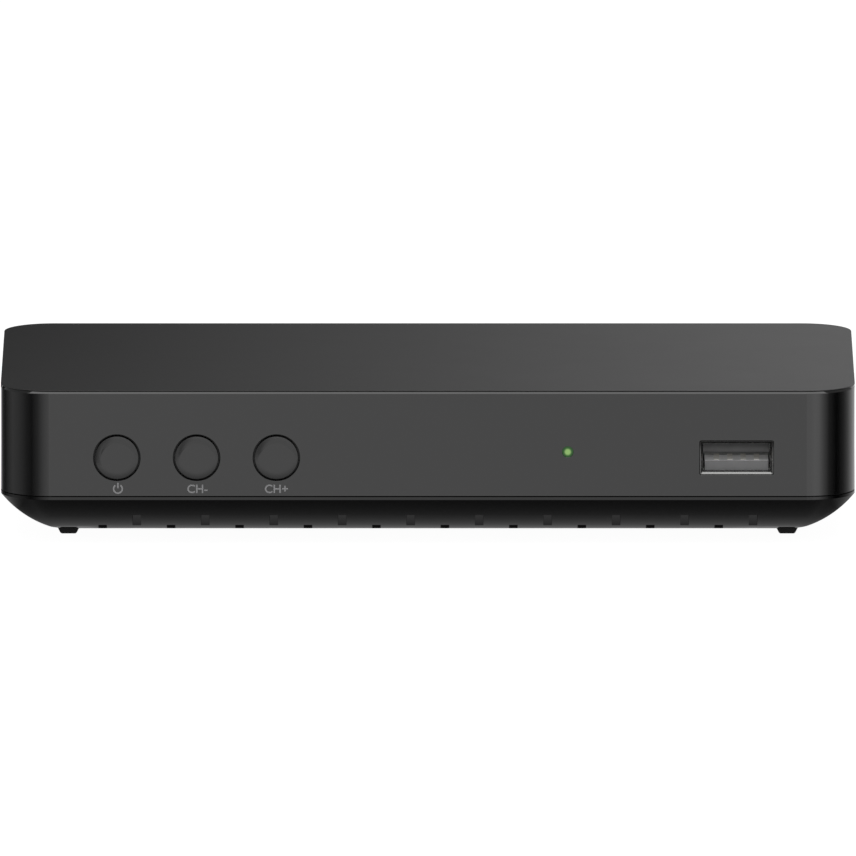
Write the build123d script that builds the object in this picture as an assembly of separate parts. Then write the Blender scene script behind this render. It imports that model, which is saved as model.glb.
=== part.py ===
from build123d import *
from math import acos, cos, sin, sqrt
import os

# Compact digital television receiver: a flat box with three front keys, a status lamp and a USB socket.
# The front faces -Y, right is +X and up is +Z. The origin is on the table, under the middle of the
# overall box. All sizes are in millimetres.

# Case outline
CASE_WIDTH = 160.0
CASE_DEPTH = 82.0
CORNER_RADIUS = 9.4
WALL = 2.0

# Case levels, from the table upwards
FOOT_STAND = 1.22
BASE_LIP = 0.55
LOWER_SEAM = 0.2
BAND_HEIGHT = 19.63
COVER_SEAM = 0.12
COVER_EDGE = 0.2

# Bowl-shaped underside: an arc that leaves the lip at a slant and ends level with the floor
HULL_RADIUS = 20.5
HULL_INSET = 16.0

# Joints between the case mouldings
BAND_BEVEL = 0.4
COVER_LIP = 0.5
COVER_BEVEL = 1.3
RIB_THICKNESS = 1.2
RIB_DEPTH = 2.0
RIB_CLEARANCE = 0.15
RAIL_HEIGHT = 1.0
RAIL_ROOT = 1.5

# Vent slots in the underside, in staggered rows
VENT_PITCH = 12.83
VENT_WIDTH = 1.6
VENT_LENGTH = 4.6
VENT_ROW_PITCH = 4.3
VENT_FIRST_ROW = 5.8
VENT_ROWS = 3
VENTS_PER_ROW = 10

# Feet
FOOT_SIDE_INSET = 12.6
FOOT_END_INSET = 17.0
FOOT_TIP = 2.9
FOOT_ROOT = 4.9
FOOT_SOCKET = 0.9
FOOT_CLEARANCE = 0.05

# Keys
CONTROL_DROP = 12.7
KEY_INSET = 21.8
KEY_PITCH = 14.93
KEY_RADIUS = 4.0
KEY_GAP = 0.425
KEY_PROUD = 0.25
KEY_BEVEL = 0.6
KEY_RIM_SINK = 0.1
KEY_TRAVEL = 0.6
FLANGE_RIM = 1.2
FLANGE_THICKNESS = 0.8
FLANGE_GAP = 0.1
GUIDE_GAP = 0.25
GUIDE_WALL = 0.75
GUIDE_DEPTH = 3.0
STEM_RADIUS = 1.5

# Key switches
SWITCH_RISE = 3.5
SWITCH_SIZE = 6.2
SWITCH_DEPTH = 3.6
SWITCH_SETBACK = 3.0
PLUNGER_SIZE = 3.5
PLUNGER_REACH = 1.5
PLUNGER_ROOT = 1.2
PLUNGER_CLEARANCE = 0.1

# Status lamp and remote-control eye
LAMP_INSET = 53.8
LAMP_DROP = 11.6
PIPE_RADIUS = 1.0
PIPE_CLEARANCE = 0.05
PIPE_LENGTH = 5.4
LED_RADIUS = 1.5
LED_LENGTH = 4.3
LED_GAP = 0.1
SPACER_SIZE = 4.4
SPACER_DEPTH = 3.5
EYE_OFFSET = 10.0
EYE_WIDTH = 5.0
EYE_DEPTH = 3.2
EYE_HEIGHT = 6.0
EYE_LENS_RADIUS = 1.8
EYE_LENS_RISE = 1.1
EYE_STAND = 1.2
EYE_LEG = 0.6
EYE_LEG_PITCH = 1.7
EYE_SETBACK = 4.0

# Front USB-A socket
USB_INSET = 22.2
USB_WIDTH = 12.5
USB_HEIGHT = 5.12
USB_SHEET = 0.3
USB_LENGTH = 14.0
USB_RECESS = 0.6
USB_CORNER = 0.5
USB_PANEL_GAP = 0.15
USB_CHAMFER = 0.3
USB_TAB = 2.5
TONGUE_WIDTH = 11.9
TONGUE_THICKNESS = 1.84
TONGUE_LIFT = 0.3
TONGUE_SETBACK = 0.9
TONGUE_BLOCK = 2.6
TONGUE_CLEARANCE = 0.05
CONTACT_WIDTH = 1.0
CONTACT_THICKNESS = 0.15
CONTACT_LENGTH = 6.5
CONTACT_PITCH = 2.5
CONTACT_COUNT = 4

# Circuit board and the posts under it
BOARD_SIDE_GAP = 14.0
BOARD_FRONT_GAP = 0.5
BOARD_BACK_GAP = 0.5
BOARD_THICKNESS = 1.6
POST_INSET = 4.0
REST_SETBACK = 16.5
REST_SIZE = 6.0
SCREW_SETBACK = 9.5
SCREW_POST_RADIUS = 3.75

# Case screws, which pass through the base and the board into bosses of the lid
BOSS_RADIUS = 3.0
BOSS_GAP = 0.1
HEAD_POCKET_RADIUS = 3.0
HEAD_POCKET_RISE = 1.8
SCREW_RADIUS = 1.45
SCREW_CLEARANCE = 0.05
SCREW_PASS = 0.25
SCREW_HEAD_RADIUS = 2.6
SCREW_HEAD_HEIGHT = 1.9
SCREW_LENGTH = 16.0
SCREW_HOLE_SPARE = 1.0

# Rear connectors, spread evenly along the board between its end margins
CONNECTOR_RISE = 6.5
CONNECTOR_MARGIN = 8.0
PANEL_GAP = 0.3

# Direct-current inlet
INLET_WIDTH = 9.0
INLET_DEPTH = 13.0
INLET_HEIGHT = 11.0
INLET_NOSE_RADIUS = 4.0
INLET_BORE_RADIUS = 3.0
INLET_BORE_DEPTH = 9.5
INLET_PIN_RADIUS = 1.0
INLET_PIN_SINK = 0.8

# Digital audio phono jack
PHONO_WIDTH = 10.6
PHONO_DEPTH = 9.0
PHONO_HEIGHT = 12.6
PHONO_RADIUS = 4.15
PHONO_SHEET = 0.4
PHONO_COLLAR = 0.9
PHONO_REACH = 7.5
PHONO_SINK = 0.6
PHONO_BORE_RADIUS = 1.6
PHONO_CLEARANCE = 0.05

# Audio and video jack
AV_WIDTH = 6.4
AV_DEPTH = 11.0
AV_HEIGHT = 5.6
AV_NOSE_RADIUS = 2.7
AV_BORE_RADIUS = 1.8
AV_BORE_DEPTH = 12.0

# Picture output
HDMI_WIDTH = 14.0
HDMI_HEIGHT = 4.55
HDMI_CORNER = 1.4
HDMI_SHEET = 0.35
HDMI_LENGTH = 11.5
HDMI_STAND = 0.3
HDMI_SINK = 0.2
HDMI_TONGUE_WIDTH = 11.6
HDMI_TONGUE_THICKNESS = 1.2
HDMI_TONGUE_SETBACK = 0.9
HDMI_BLOCK = 2.4
HDMI_CLEARANCE = 0.05

# Tuner module with its aerial socket and loop-through plug
TUNER_WIDTH = 36.0
TUNER_DEPTH = 24.0
TUNER_HEIGHT = 12.6
TUNER_SHEET = 0.6
TUNER_SETBACK = 3.0
LID_THICKNESS = 0.4
LID_SKIRT = 2.5
LID_CLEARANCE = 0.05
AERIAL_PITCH = 20.0
AERIAL_REACH = 9.0
SOCKET_BORE_RADIUS = 4.765
SOCKET_WALL = 0.95
PLUG_RADIUS = 4.75
PLUG_WALL = 0.65
PLUG_COLLAR = 0.95
INSULATOR_LENGTH = 2.0
INSULATOR_CLEARANCE = 0.05
AERIAL_CONTACT_RADIUS = 1.9
AERIAL_PIN_RADIUS = 1.175
AERIAL_PIN_CLEARANCE = 0.05
AERIAL_CONTACT_SINK = 1.5
AERIAL_CONTACT_DEPTH = 8.0

# Circuit parts
PROCESSOR_SIZE = 15.0
PROCESSOR_HEIGHT = 1.3
SINK_SIZE = 22.0
SINK_BASE = 2.0
SINK_HEIGHT = 8.0
SINK_FINS = 7
SINK_FIN_THICKNESS = 1.0
MEMORY_WIDTH = 8.0
MEMORY_DEPTH = 12.5
MEMORY_HEIGHT = 1.1
FLASH_WIDTH = 5.3
FLASH_DEPTH = 7.9
FLASH_HEIGHT = 1.8
CRYSTAL_WIDTH = 5.0
CRYSTAL_DEPTH = 3.2
CRYSTAL_HEIGHT = 1.1
CHIP_GAP = 4.0
INDUCTOR_SIZE = 7.0
INDUCTOR_HEIGHT = 4.2
INDUCTOR_CORNER = 1.2
INDUCTOR_COUNT = 2
CAPACITOR_RADIUS = 3.15
CAPACITOR_HEIGHT = 9.0
CAPACITOR_COUNT = 3
POWER_PITCH = 10.0
POWER_ROW_GAP = 6.0

# Levels and places that follow from the sizes above
ARC_Z = FOOT_STAND + HULL_RADIUS
RIM_Z = ARC_Z - sqrt(HULL_RADIUS**2 - HULL_INSET**2)
LIP_TOP = RIM_Z + BASE_LIP
FLOOR_Z = FOOT_STAND + WALL
BAND_BOTTOM = LIP_TOP + LOWER_SEAM
BAND_TOP = BAND_BOTTOM + BAND_HEIGHT
COVER_BOTTOM = BAND_TOP + COVER_SEAM
TOP_Z = COVER_BOTTOM + COVER_EDGE
COVER_UNDER = COVER_BOTTOM - COVER_BEVEL
CONTROL_Z = TOP_Z - CONTROL_DROP
LAMP_Z = TOP_Z - LAMP_DROP
BOARD_TOP = CONTROL_Z - SWITCH_RISE
BOARD_BOTTOM = BOARD_TOP - BOARD_THICKNESS
CONNECTOR_Z = BOARD_TOP + CONNECTOR_RISE
HEAD_POCKET_TOP = FLOOR_Z + HEAD_POCKET_RISE

CASE_MID_Y = (KEY_PROUD - AERIAL_REACH) / 2
FRONT_Y = CASE_MID_Y - CASE_DEPTH / 2
BACK_Y = CASE_MID_Y + CASE_DEPTH / 2
FRONT_INSIDE = FRONT_Y + WALL
BACK_INSIDE = BACK_Y - WALL
BOARD_FRONT = FRONT_INSIDE + GUIDE_DEPTH + BOARD_FRONT_GAP
BOARD_BACK = BACK_INSIDE - BOARD_BACK_GAP
BOARD_MID_Y = (BOARD_FRONT + BOARD_BACK) / 2
BOARD_WIDTH = CASE_WIDTH - 2 * BOARD_SIDE_GAP
SWITCH_FRONT = BOARD_FRONT + SWITCH_SETBACK
LED_FRONT = FRONT_Y + PIPE_LENGTH + LED_GAP
TUNER_BACK = BACK_INSIDE - TUNER_SETBACK
INSULATOR_FACE = TUNER_BACK + INSULATOR_LENGTH
AERIAL_TIP = BACK_Y + AERIAL_REACH

KEY_NAMES = ("power", "channel_down", "channel_up")
KEY_X = {name: KEY_INSET - CASE_WIDTH / 2 + index * KEY_PITCH for index, name in enumerate(KEY_NAMES)}
LAMP_X = CASE_WIDTH / 2 - LAMP_INSET
EYE_X = LAMP_X + EYE_OFFSET
USB_X = CASE_WIDTH / 2 - USB_INSET
FLANGE_RADIUS = KEY_RADIUS + FLANGE_RIM

SIDES = {"left": -1, "right": 1}
STAND = (Align.CENTER, Align.CENTER, Align.MIN)
FROM_FRONT = (Align.CENTER, Align.MIN, Align.MIN)
STAND_ON_ROOT = (Align.CENTER, Align.MIN, Align.CENTER)


def spread_connectors():
    """Centres of the rear connectors: equal gaps between them, from margin to margin of the board."""
    widths = {
        "inlet": INLET_WIDTH,
        "phono": PHONO_WIDTH,
        "av": AV_WIDTH,
        "hdmi": HDMI_WIDTH + 2 * HDMI_SHEET,
        "tuner": TUNER_WIDTH,
    }
    room = BOARD_WIDTH - 2 * CONNECTOR_MARGIN - sum(widths.values())
    gap = room / (len(widths) - 1)
    edge = CONNECTOR_MARGIN - BOARD_WIDTH / 2
    centres = {}
    for name, width in widths.items():
        centres[name] = edge + width / 2
        edge += width + gap
    return centres


CONNECTOR_X = spread_connectors()
AERIAL_IN_X = CONNECTOR_X["tuner"] + AERIAL_PITCH / 2
AERIAL_OUT_X = CONNECTOR_X["tuner"] - AERIAL_PITCH / 2

POST_X = [side * (BOARD_WIDTH / 2 - POST_INSET) for side in SIDES.values()]
REST_SPOTS = [(x, BOARD_FRONT + REST_SETBACK) for x in POST_X]
SCREW_SPOTS = [(x, BOARD_BACK - SCREW_SETBACK) for x in POST_X]
FOOT_SPOTS = {
    f"foot_{end}_{name}": (side * (CASE_WIDTH / 2 - FOOT_SIDE_INSET), y)
    for name, side in SIDES.items()
    for end, y in (("front", FRONT_Y + FOOT_END_INSET), ("rear", BACK_Y - FOOT_END_INSET))
}


def plan(inset, level):
    """The case outline in plan, moved inwards, at a level."""
    outline = RectangleRounded(CASE_WIDTH - 2 * inset, CASE_DEPTH - 2 * inset, CORNER_RADIUS - inset)
    return Pos(0, CASE_MID_Y, level) * outline


def slab(inset, low, high):
    """A block of the case outline between two levels."""
    return extrude(plan(inset, low), high - low)


def rails(low, high):
    """Four straight ribs just inside the walls, between the corners of the case."""
    inset = WALL + RIB_CLEARANCE
    long_side = CASE_WIDTH - 2 * CORNER_RADIUS
    short_side = CASE_DEPTH - 2 * CORNER_RADIUS
    bars = []
    for y in (FRONT_Y + inset, BACK_Y - inset - RIB_THICKNESS):
        bars.append(block(0, y, low, long_side, RIB_THICKNESS, high - low))
    for side in SIDES.values():
        x = side * (CASE_WIDTH / 2 - inset - RIB_THICKNESS / 2)
        y = FRONT_Y + CORNER_RADIUS
        bars.append(block(x, y, low, RIB_THICKNESS, short_side, high - low))
    return bars


def depth_plane(x, y, z):
    """A plane at a point whose normal runs straight back through the case."""
    return Plane(origin=(x, y, z), x_dir=(1, 0, 0), z_dir=(0, 1, 0))


def rod(x, y, z, radius, length):
    """A round bar that runs back from a point."""
    return depth_plane(x, y, z) * Cylinder(radius, length, align=STAND)


def tube(x, y, z, radius, bore, length):
    """A round bar that runs back from a point, bored through."""
    return rod(x, y, z, radius, length) - rod(x, y, z, bore, length)


def post(x, y, low, high, radius):
    """An upright round post between two levels."""
    return Pos(x, y, low) * Cylinder(radius, high - low, align=STAND)


def block(x, y, z, width, depth, height):
    """A box whose front bottom edge is centred on a point."""
    return Pos(x, y, z) * Box(width, depth, height, align=FROM_FRONT)


def rounded_bar(x, y, z, width, height, corner, length):
    """A bar with a rounded rectangular section that runs back from its front centre."""
    return extrude(depth_plane(x, y, z) * RectangleRounded(width, height, corner), length)


# Case mouldings


def cover_seat(level):
    """The bevelled body under the lid's lip, with its top at a level."""
    top = plan(COVER_LIP, level)
    under = plan(COVER_LIP + COVER_BEVEL, level - COVER_BEVEL)
    return loft([under, top], ruled=True)


def top_cover():
    """Flat lid: a thin overhanging lip, a bevelled seat, locating ribs and two screw bosses."""
    lid = slab(0, COVER_BOTTOM, TOP_Z) + cover_seat(COVER_BOTTOM)
    boss_end = BOARD_TOP + BOSS_GAP
    hole_top = HEAD_POCKET_TOP + SCREW_LENGTH + SCREW_HOLE_SPARE
    bosses = [post(x, y, boss_end, COVER_UNDER, BOSS_RADIUS) for x, y in SCREW_SPOTS]
    holes = [post(x, y, boss_end, hole_top, SCREW_RADIUS + SCREW_CLEARANCE) for x, y in SCREW_SPOTS]
    return lid + rails(COVER_UNDER - RIB_DEPTH, COVER_UNDER) + bosses - holes


def front_cuts():
    """Cut-outs of the front wall: key holes, the lamp's hole and the bevelled USB mouth."""
    cuts = Part()
    for x in KEY_X.values():
        cuts += rod(x, FRONT_Y, CONTROL_Z, KEY_RADIUS + KEY_GAP, WALL)
    cuts += rod(LAMP_X, FRONT_Y, LAMP_Z, PIPE_RADIUS + PIPE_CLEARANCE, WALL)
    width = USB_WIDTH + 2 * (USB_SHEET + USB_PANEL_GAP)
    height = USB_HEIGHT + 2 * (USB_SHEET + USB_PANEL_GAP)
    corner = USB_CORNER + USB_SHEET + USB_PANEL_GAP
    cuts += rounded_bar(USB_X, FRONT_Y, CONTROL_Z, width, height, corner, WALL)
    spread = 2 * USB_CHAMFER
    mouth = depth_plane(USB_X, FRONT_Y, CONTROL_Z)
    mouth *= RectangleRounded(width + spread, height + spread, corner + USB_CHAMFER)
    throat = depth_plane(USB_X, FRONT_Y + USB_CHAMFER, CONTROL_Z)
    throat *= RectangleRounded(width, height, corner)
    cuts += loft([mouth, throat], ruled=True)
    return cuts


def rear_cuts():
    """Cut-outs of the back wall, one for each connector."""
    cuts = Part()
    for x in (AERIAL_IN_X, AERIAL_OUT_X):
        cuts += rod(x, BACK_INSIDE, CONNECTOR_Z, SOCKET_BORE_RADIUS + SOCKET_WALL + PANEL_GAP, WALL)
    phono_hole = PHONO_RADIUS + PHONO_COLLAR + PANEL_GAP
    cuts += rod(CONNECTOR_X["phono"], BACK_INSIDE, CONNECTOR_Z, phono_hole, WALL)
    cuts += rod(CONNECTOR_X["inlet"], BACK_INSIDE, CONNECTOR_Z, INLET_NOSE_RADIUS + PANEL_GAP, WALL)
    av_z = BOARD_TOP + AV_HEIGHT / 2
    cuts += rod(CONNECTOR_X["av"], BACK_INSIDE, av_z, AV_NOSE_RADIUS + PANEL_GAP, WALL)
    cuts += extrude(hdmi_outline(BACK_INSIDE, HDMI_SHEET + PANEL_GAP), WALL)
    return cuts


def case_ring():
    """The whole glossy band round the case, bevelled at its top and cut for the seat of the lid."""
    ring = slab(0, BAND_BOTTOM, BAND_TOP)
    rim = ring.faces().sort_by(Axis.Z)[-1].outer_wire().edges()
    return chamfer(rim, BAND_BEVEL) - slab(WALL, BAND_BOTTOM, BAND_TOP) - cover_seat(BAND_TOP)


def band_moulding(x, y, width, depth):
    """The length of the band that lies in a block as high as the band."""
    return case_ring() & block(x, y, BAND_BOTTOM, width, depth, BAND_HEIGHT)


def front_panel():
    """Front moulding of the band, round both corners, with its cut-outs."""
    return band_moulding(0, FRONT_Y, CASE_WIDTH, CORNER_RADIUS) - front_cuts()


def rear_panel():
    """Back moulding of the band, round both corners, with its cut-outs."""
    return band_moulding(0, BACK_Y - CORNER_RADIUS, CASE_WIDTH, CORNER_RADIUS) - rear_cuts()


def side_panel(side):
    """Flat moulding of the band between the corners of one side."""
    x = side * (CASE_WIDTH - CORNER_RADIUS) / 2
    return band_moulding(x, FRONT_Y + CORNER_RADIUS, CORNER_RADIUS, CASE_DEPTH - 2 * CORNER_RADIUS)


def bowl_arc(middle, thickness, reach):
    """Arc of the underside beside a centre line at middle, from its rim to a given inset."""
    radius = HULL_RADIUS - thickness
    start = acos((HULL_INSET - thickness) / radius)
    end = acos((HULL_INSET - reach) / radius)
    points = []
    for angle in (start, (start + end) / 2, end):
        points.append((middle - HULL_INSET + radius * cos(angle), ARC_Z - radius * sin(angle)))
    return points


def bowl_prism(plane, half, length, thickness, top):
    """Bar with the section of the underside: two arcs, a flat floor and upright sides to a level."""
    rim, waist, floor = bowl_arc(half, thickness, HULL_INSET)
    far_rim, far_waist, far_floor = ((-x, z) for x, z in (rim, waist, floor))
    edges = [
        ThreePointArc(rim, waist, floor),
        Line(floor, far_floor),
        ThreePointArc(far_floor, far_waist, far_rim),
        Polyline(far_rim, (far_rim[0], top), (rim[0], top), rim),
    ]
    return extrude(plane * make_face(edges), length)


def bowl_corner(thickness, top):
    """Quarter-round corner of the underside, about an upright axis at the origin."""
    rim, waist, tip = bowl_arc(CORNER_RADIUS, thickness, CORNER_RADIUS)
    edges = [ThreePointArc(rim, waist, tip), Polyline(tip, (0, top), (rim[0], top), rim)]
    return revolve(Plane.XZ * make_face(edges), Axis.Z, revolution_arc=90)


def bowl(thickness, top):
    """Solid of the underside up to a level, moved inwards from its skin by a thickness."""
    across = Plane(origin=(-CASE_WIDTH / 2, CASE_MID_Y, 0), x_dir=(0, 1, 0), z_dir=(1, 0, 0))
    along = Plane(origin=(0, BACK_Y, 0), x_dir=(1, 0, 0), z_dir=(0, -1, 0))
    body = bowl_prism(across, CASE_DEPTH / 2, CASE_WIDTH, thickness, top)
    body &= bowl_prism(along, CASE_WIDTH / 2, CASE_DEPTH, thickness, top)
    columns = []
    corners = []
    for turn, (right, back) in enumerate(((1, 1), (-1, 1), (-1, -1), (1, -1))):
        x = right * (CASE_WIDTH / 2 - CORNER_RADIUS)
        y = CASE_MID_Y + back * (CASE_DEPTH / 2 - CORNER_RADIUS)
        spot = Pos(x, y, 0) * Rot(0, 0, 90 * turn)
        columns.append(spot * Box(CORNER_RADIUS, CORNER_RADIUS, top, align=Align.MIN))
        corners.append(spot * bowl_corner(thickness, top))
    return body - columns + corners


def vent_slots():
    """Staggered rows of upright slots that start on the front curve of the underside."""
    cuts = []
    for row in range(VENT_ROWS):
        shift = VENT_PITCH / 4 * (1 if row % 2 == 0 else -1)
        y = FRONT_Y + VENT_FIRST_ROW + row * VENT_ROW_PITCH - VENT_LENGTH / 2
        for column in range(VENTS_PER_ROW):
            x = (column - (VENTS_PER_ROW - 1) / 2) * VENT_PITCH + shift
            cuts.append(block(x, y, 0, VENT_WIDTH, VENT_LENGTH, LIP_TOP))
    return cuts


def base_tub():
    """Bottom moulding: lip, bowl, locating rails, vents, foot sockets and posts under the board."""
    tub = bowl(0, LIP_TOP) - bowl(WALL, LIP_TOP + WALL)
    posts = rails(LIP_TOP - RAIL_ROOT, LIP_TOP + RAIL_HEIGHT)
    cuts = vent_slots()
    root = FLOOR_Z - WALL / 2
    for x, y in REST_SPOTS:
        posts.append(block(x, y - REST_SIZE / 2, root, REST_SIZE, REST_SIZE, BOARD_BOTTOM - root))
    for x, y in SCREW_SPOTS:
        posts.append(post(x, y, root, BOARD_BOTTOM, SCREW_POST_RADIUS))
        cuts.append(post(x, y, HEAD_POCKET_TOP, BOARD_BOTTOM, SCREW_RADIUS + SCREW_PASS))
        cuts.append(post(x, y, 0, HEAD_POCKET_TOP, HEAD_POCKET_RADIUS))
    for x, y in FOOT_SPOTS.values():
        cuts.append(foot(x, y, FOOT_CLEARANCE))
    return tub + posts - cuts


def foot(x, y, growth=0):
    """Tapered square rubber foot whose root sits in a socket of the base; growth makes the socket."""
    root = FOOT_ROOT + 2 * growth
    step = (FOOT_ROOT - FOOT_TIP) / 2
    height = FOOT_STAND + FOOT_SOCKET
    taper = Wedge(root, height, root, step, step, root - step, root - step, align=STAND_ON_ROOT)
    return Pos(x, y, height) * Rot(-90, 0, 0) * taper


# Keys and their switches


def key(x):
    """Round key: bevelled cap through the panel, flange behind it and a stem that reaches the plunger."""
    flange_front = WALL + FLANGE_GAP
    flange_back = flange_front + FLANGE_THICKNESS
    stem_end = SWITCH_FRONT - PLUNGER_REACH - FRONT_Y
    outline = Polyline(
        (0, -KEY_PROUD),
        (KEY_RADIUS - KEY_BEVEL, -KEY_PROUD),
        (KEY_RADIUS, KEY_RIM_SINK),
        (KEY_RADIUS, flange_front),
        (FLANGE_RADIUS, flange_front),
        (FLANGE_RADIUS, flange_back),
        (STEM_RADIUS, flange_back),
        (STEM_RADIUS, stem_end),
        (0, stem_end),
        close=True,
    )
    section = Plane(origin=(x, FRONT_Y, CONTROL_Z), x_dir=(1, 0, 0), z_dir=(0, 0, 1))
    return revolve(section * make_face(outline), Axis((x, FRONT_Y, CONTROL_Z), (0, 1, 0)))


def key_guide():
    """Strip behind the front wall, with a square window that guides each key's flange."""
    window = 2 * (FLANGE_RADIUS + GUIDE_GAP)
    height = window + 2 * GUIDE_WALL
    x = sum(KEY_X.values()) / len(KEY_X)
    width = KEY_PITCH * (len(KEY_X) - 1) + height
    strip = block(x, FRONT_INSIDE, CONTROL_Z - height / 2, width, GUIDE_DEPTH, height)
    low = CONTROL_Z - window / 2
    return strip - [block(x, FRONT_INSIDE, low, window, GUIDE_DEPTH, window) for x in KEY_X.values()]


def switch_body(x):
    """Side-push switch housing that stands on the board, with a well for its plunger."""
    body = block(x, SWITCH_FRONT, BOARD_TOP, SWITCH_SIZE, SWITCH_DEPTH, SWITCH_RISE + SWITCH_SIZE / 2)
    well = PLUNGER_SIZE + 2 * PLUNGER_CLEARANCE
    return body - block(x, SWITCH_FRONT, CONTROL_Z - well / 2, well, PLUNGER_ROOT + 2 * KEY_TRAVEL, well)


def switch_plunger(x):
    """Square plunger that the key's stem pushes into the switch."""
    bottom = CONTROL_Z - PLUNGER_SIZE / 2
    length = PLUNGER_REACH + PLUNGER_ROOT
    return block(x, SWITCH_FRONT - PLUNGER_REACH, bottom, PLUNGER_SIZE, length, PLUNGER_SIZE)


# Status lamp and remote-control eye


def led_light_pipe():
    """Clear rod from the panel's face to the lamp."""
    return rod(LAMP_X, FRONT_Y, LAMP_Z, PIPE_RADIUS, PIPE_LENGTH)


def status_led():
    """Round flat-topped lamp, just behind the light pipe."""
    return rod(LAMP_X, LED_FRONT, LAMP_Z, LED_RADIUS, LED_LENGTH)


def led_spacer():
    """Block on the board that carries the lamp at the height of its hole."""
    height = LAMP_Z - BOARD_TOP + SPACER_SIZE / 2
    return block(LAMP_X, LED_FRONT + LED_LENGTH, BOARD_TOP, SPACER_SIZE, SPACER_DEPTH, height)


def ir_receiver():
    """Remote-control eye: a moulded block with a round lens, on three legs."""
    front = BOARD_FRONT + EYE_SETBACK
    low = BOARD_TOP + EYE_STAND
    eye = block(EYE_X, front, low, EYE_WIDTH, EYE_DEPTH, EYE_HEIGHT)
    eye += rod(EYE_X, front - EYE_LENS_RISE, low + EYE_HEIGHT / 2, EYE_LENS_RADIUS, EYE_LENS_RISE)
    for side in (-1, 0, 1):
        x = EYE_X + side * EYE_LEG_PITCH
        leg_y = front + (EYE_DEPTH - EYE_LEG) / 2
        eye += block(x, leg_y, BOARD_TOP, EYE_LEG, EYE_LEG, EYE_STAND)
    return eye


# USB socket


def usb_shell():
    """Sheet-metal shell of the socket, open at the front, with tabs that stand on the board."""
    front = FRONT_Y + USB_RECESS
    width = USB_WIDTH + 2 * USB_SHEET
    height = USB_HEIGHT + 2 * USB_SHEET
    shell = rounded_bar(USB_X, front, CONTROL_Z, width, height, USB_CORNER + USB_SHEET, USB_LENGTH)
    bottom = CONTROL_Z - USB_HEIGHT / 2
    for side in SIDES.values():
        x = USB_X + side * (width - USB_SHEET) / 2
        for y in (BOARD_FRONT, front + USB_LENGTH - USB_TAB):
            shell += block(x, y, BOARD_TOP, USB_SHEET, USB_TAB, bottom + USB_CORNER - BOARD_TOP)
    return shell - rounded_bar(USB_X, front, CONTROL_Z, USB_WIDTH, USB_HEIGHT, USB_CORNER, USB_LENGTH)


def usb_tongue_top():
    """Level of the tongue's upper face, which carries the contacts."""
    return CONTROL_Z - USB_HEIGHT / 2 + TONGUE_LIFT + TONGUE_THICKNESS


def usb_tongue():
    """Plastic insert: a block that closes the shell's back and the tongue low in its mouth."""
    back = FRONT_Y + USB_RECESS + USB_LENGTH
    front = FRONT_Y + USB_RECESS + TONGUE_SETBACK
    width = USB_WIDTH - 2 * TONGUE_CLEARANCE
    height = USB_HEIGHT - 2 * TONGUE_CLEARANCE
    insert = rounded_bar(USB_X, back - TONGUE_BLOCK, CONTROL_Z, width, height, USB_CORNER, TONGUE_BLOCK)
    low = usb_tongue_top() - TONGUE_THICKNESS
    return insert + block(USB_X, front, low, TONGUE_WIDTH, back - front, TONGUE_THICKNESS)


def usb_contacts():
    """Flat contacts on top of the tongue."""
    strips = Part()
    y = FRONT_Y + USB_RECESS + 2 * TONGUE_SETBACK
    for index in range(CONTACT_COUNT):
        x = USB_X + (index - (CONTACT_COUNT - 1) / 2) * CONTACT_PITCH
        strips += block(x, y, usb_tongue_top(), CONTACT_WIDTH, CONTACT_LENGTH, CONTACT_THICKNESS)
    return strips


# Circuit board and fasteners


def main_board():
    """Printed circuit board with two screw holes."""
    board = block(0, BOARD_FRONT, BOARD_BOTTOM, BOARD_WIDTH, BOARD_BACK - BOARD_FRONT, BOARD_THICKNESS)
    return board - [post(x, y, BOARD_BOTTOM, BOARD_TOP, SCREW_RADIUS + SCREW_PASS) for x, y in SCREW_SPOTS]


def case_screws():
    """Flat-headed screws that pull the lid down onto the board and the base from below."""
    group = Part()
    for x, y in SCREW_SPOTS:
        group += post(x, y, HEAD_POCKET_TOP - SCREW_HEAD_HEIGHT, HEAD_POCKET_TOP, SCREW_HEAD_RADIUS)
        group += post(x, y, HEAD_POCKET_TOP, HEAD_POCKET_TOP + SCREW_LENGTH, SCREW_RADIUS)
    return group


# Rear connectors


def power_inlet_body():
    """Housing of the direct-current inlet, with a round nose in the back wall."""
    x = CONNECTOR_X["inlet"]
    body = block(x, BACK_INSIDE - INLET_DEPTH, BOARD_TOP, INLET_WIDTH, INLET_DEPTH, INLET_HEIGHT)
    body += rod(x, BACK_INSIDE, CONNECTOR_Z, INLET_NOSE_RADIUS, WALL)
    return body - rod(x, BACK_Y - INLET_BORE_DEPTH, CONNECTOR_Z, INLET_BORE_RADIUS, INLET_BORE_DEPTH)


def power_inlet_pin():
    """Centre pin of the direct-current inlet."""
    length = INLET_BORE_DEPTH - INLET_PIN_SINK
    return rod(CONNECTOR_X["inlet"], BACK_Y - INLET_BORE_DEPTH, CONNECTOR_Z, INLET_PIN_RADIUS, length)


def digital_audio_body():
    """Housing of the phono jack, with a round collar that fills its hole in the back wall."""
    x = CONNECTOR_X["phono"]
    body = block(x, BACK_INSIDE - PHONO_DEPTH, BOARD_TOP, PHONO_WIDTH, PHONO_DEPTH, PHONO_HEIGHT)
    return body + rod(x, BACK_INSIDE, CONNECTOR_Z, PHONO_RADIUS + PHONO_COLLAR, WALL)


def digital_audio_shell():
    """Metal barrel of the phono jack."""
    bore = PHONO_RADIUS - PHONO_SHEET
    return tube(CONNECTOR_X["phono"], BACK_Y, CONNECTOR_Z, PHONO_RADIUS, bore, PHONO_REACH)


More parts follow.
